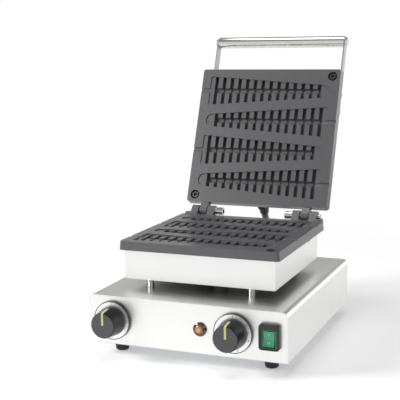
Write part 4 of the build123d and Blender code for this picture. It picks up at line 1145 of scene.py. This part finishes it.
class WAFFLE_OT_stage(bpy.types.Operator):
    """Sets the pale floor, the studio light and the camera"""

    bl_idname = "waffle.stage"
    bl_label = "Stage"

    def execute(self, context):
        settings = context.scene.waffle_stage
        nothing_selected()
        bpy.ops.mesh.primitive_circle_add(
            vertices=96, radius=settings.floor_radius, fill_type="NGON", location=(0, 0.05, 0)
        )
        floor = context.object
        floor.name = "studio_floor"
        bpy.ops.object.transform_apply(location=True)
        # Seamless paper floor: matt and near white, fading out into the bright backdrop.
        paper = bpy.data.materials.new("seamless_paper")
        paper.use_nodes = True
        tree = paper.node_tree
        tree.nodes.clear()
        place = add_node(tree, "ShaderNodeTexCoord")
        distance = add_node(
            tree,
            "ShaderNodeVectorMath",
            settings={"operation": "LENGTH"},
            links={0: place.outputs["Object"]},
        )
        fade = add_node(
            tree,
            "ShaderNodeMapRange",
            settings={"interpolation_type": "SMOOTHSTEP"},
            values={"From Min": 0.35, "From Max": settings.floor_radius * 0.9},
            links={"Value": distance.outputs["Value"]},
        )
        ray = add_node(tree, "ShaderNodeLightPath")
        shown = add_node(
            tree,
            "ShaderNodeMath",
            settings={"operation": "MULTIPLY"},
            values={1: 0.3},
            links={0: ray.outputs["Is Camera Ray"]},
        )
        lift = add_node(
            tree,
            "ShaderNodeMix",
            values={3: 0.45},
            links={0: ray.outputs["Is Glossy Ray"], 2: shown.outputs["Value"]},
        )
        matt = add_node(tree, "ShaderNodeBsdfDiffuse", values={"Color": [*linear("#EDEDED"), 1]})
        glow = add_node(tree, "ShaderNodeEmission", links={"Strength": lift.outputs[0]})
        lit = add_node(
            tree,
            "ShaderNodeAddShader",
            links={0: matt.outputs["BSDF"], 1: glow.outputs["Emission"]},
        )
        clear = add_node(tree, "ShaderNodeBsdfTransparent")
        # The floor is clear from beneath, so that the underside can be looked at.
        side = add_node(tree, "ShaderNodeNewGeometry")
        hidden = add_node(
            tree,
            "ShaderNodeMath",
            settings={"operation": "MAXIMUM"},
            links={0: fade.outputs["Result"], 1: side.outputs["Backfacing"]},
        )
        faded = add_node(
            tree,
            "ShaderNodeMixShader",
            links={0: hidden.outputs["Value"], 1: lit.outputs["Shader"], 2: clear.outputs["BSDF"]},
        )
        add_node(tree, "ShaderNodeOutputMaterial", links={"Surface": faded.outputs["Shader"]})
        floor.data.materials.append(paper)

        world = bpy.data.worlds.new("studio_backdrop")
        context.scene.world = world
        world.use_nodes = True
        tree = world.node_tree
        tree.nodes.clear()
        ray = add_node(tree, "ShaderNodeLightPath")
        mirrored = add_node(
            tree,
            "ShaderNodeMath",
            settings={"operation": "MAXIMUM"},
            links={0: ray.outputs["Is Glossy Ray"], 1: ray.outputs["Is Transmission Ray"]},
        )
        place = add_node(tree, "ShaderNodeTexCoord")
        parts = add_node(
            tree,
            "ShaderNodeSeparateXYZ",
            links={"Vector": place.outputs["Generated"]},
        )
        overhead = add_node(
            tree,
            "ShaderNodeMapRange",
            settings={"interpolation_type": "SMOOTHSTEP"},
            values={"From Min": 0.25, "From Max": 0.6, "To Min": 1.0, "To Max": 0.35},
            links={"Value": parts.outputs["Z"]},
        )
        above = add_node(
            tree,
            "ShaderNodeMapRange",
            values={"From Min": 0.0, "From Max": 0.12},
            links={"Value": parts.outputs["Z"]},
        )
        behind = add_node(
            tree,
            "ShaderNodeMapRange",
            values={"From Min": 0.3, "From Max": 0.8, "To Max": 0.28},
            links={"Value": parts.outputs["Y"]},
        )
        dimmed = add_node(
            tree,
            "ShaderNodeMath",
            settings={"operation": "MULTIPLY"},
            links={0: above.outputs["Result"], 1: behind.outputs["Result"]},
        )
        surround = add_node(
            tree,
            "ShaderNodeMath",
            settings={"operation": "SUBTRACT"},
            links={0: overhead.outputs["Result"], 1: dimmed.outputs["Value"]},
        )
        reflected = add_node(
            tree,
            "ShaderNodeMix",
            values={2: 0.2},
            links={0: mirrored.outputs["Value"], 3: surround.outputs["Value"]},
        )
        seen = add_node(
            tree,
            "ShaderNodeMix",
            values={3: 1.0},
            links={0: ray.outputs["Is Camera Ray"], 2: reflected.outputs[0]},
        )
        light = add_node(
            tree,
            "ShaderNodeBackground",
            values={"Color": (1, 1, 1, 1)},
            links={"Strength": seen.outputs[0]},
        )
        add_node(tree, "ShaderNodeOutputWorld", links={"Surface": light.outputs["Background"]})

        lamps = (
            ("key_light", (-1.75, -1.1, 1.05), 0.8, settings.key_power),
            ("fill_light", (1.3, -1.6, 0.6), 1.0, settings.fill_power),
            ("rim_light", (1.0, 1.35, 0.45), 0.7, settings.rim_power),
            ("top_light", (0, 0.05, 1.9), 1.3, settings.top_power),
        )
        for name, spot, size, power in lamps:
            lamp = bpy.data.lights.new(name, "AREA")
            lamp.size = size
            lamp.energy = power
            holder = bpy.data.objects.new(name, lamp)
            holder.location = spot
            aim = Vector((0, CABINET_Y, 0.15)) - Vector(spot)
            holder.rotation_euler = aim.to_track_quat("-Z", "Y").to_euler()
            context.scene.collection.objects.link(holder)

        view = bpy.data.cameras.new("front_right_camera")
        view.lens = settings.lens
        view.sensor_width = 36
        camera = bpy.data.objects.new("front_right_camera", view)
        context.scene.collection.objects.link(camera)
        direction = Vector((-0.37671, 0.91099, -0.16790))
        roll = Matrix.Rotation(math.radians(-0.86), 4, "Z")
        spot = Matrix.Translation((0.51158, -1.38386, 0.45224))
        camera.matrix_world = spot @ direction.to_track_quat("-Z", "Y").to_matrix().to_4x4() @ roll
        context.scene.camera = camera
        context.scene.view_settings.view_transform = "Standard"
        return {"FINISHED"}


OPERATORS = (
    WAFFLE_OT_stage,
    WAFFLE_OT_conduit,
    WAFFLE_OT_sheet_steel,
    WAFFLE_OT_cast_plates,
    WAFFLE_OT_bright_metal,
    WAFFLE_OT_knobs,
    WAFFLE_OT_dials,
    WAFFLE_OT_lamp,
    WAFFLE_OT_switch,
    WAFFLE_OT_mouldings,
    WAFFLE_OT_heating,
)
GROUPS = {
    "waffle_steel": SteelSettings,
    "waffle_plates": PlateSettings,
    "waffle_controls": ControlSettings,
    "waffle_conduit": ConduitSettings,
    "waffle_stage": StageSettings,
}


class WAFFLE_PT_pieces(bpy.types.Panel):
    """Lists the waffle maker's pieces and their settings"""

    bl_idname = "WAFFLE_PT_pieces"
    bl_label = "Waffle Maker"
    bl_space_type = "VIEW_3D"
    bl_region_type = "UI"
    bl_category = "Waffle Maker"

    def draw(self, context):
        for name, group in GROUPS.items():
            box = self.layout.box()
            for field in group.__annotations__:
                box.prop(getattr(context.scene, name), field)
        for operator in OPERATORS:
            self.layout.operator(operator.bl_idname)


def register():
    for group in GROUPS.values():
        bpy.utils.register_class(group)
    for operator in OPERATORS:
        bpy.utils.register_class(operator)
    bpy.utils.register_class(WAFFLE_PT_pieces)
    for name, group in GROUPS.items():
        setattr(bpy.types.Scene, name, bpy.props.PointerProperty(type=group))


def unregister():
    for name in GROUPS:
        delattr(bpy.types.Scene, name)
    bpy.utils.unregister_class(WAFFLE_PT_pieces)
    for operator in reversed(OPERATORS):
        bpy.utils.unregister_class(operator)
    for group in GROUPS.values():
        bpy.utils.unregister_class(group)


def main():
    """Dresses the frame piece by piece."""
    register()
    bpy.ops.waffle.stage()
    bpy.ops.waffle.conduit()
    bpy.ops.waffle.sheet_steel()
    bpy.ops.waffle.cast_plates()
    bpy.ops.waffle.bright_metal()
    bpy.ops.waffle.knobs()
    bpy.ops.waffle.dials()
    bpy.ops.waffle.lamp()
    bpy.ops.waffle.switch()
    bpy.ops.waffle.mouldings()
    bpy.ops.waffle.heating()


if __name__ == "__main__":
    main()
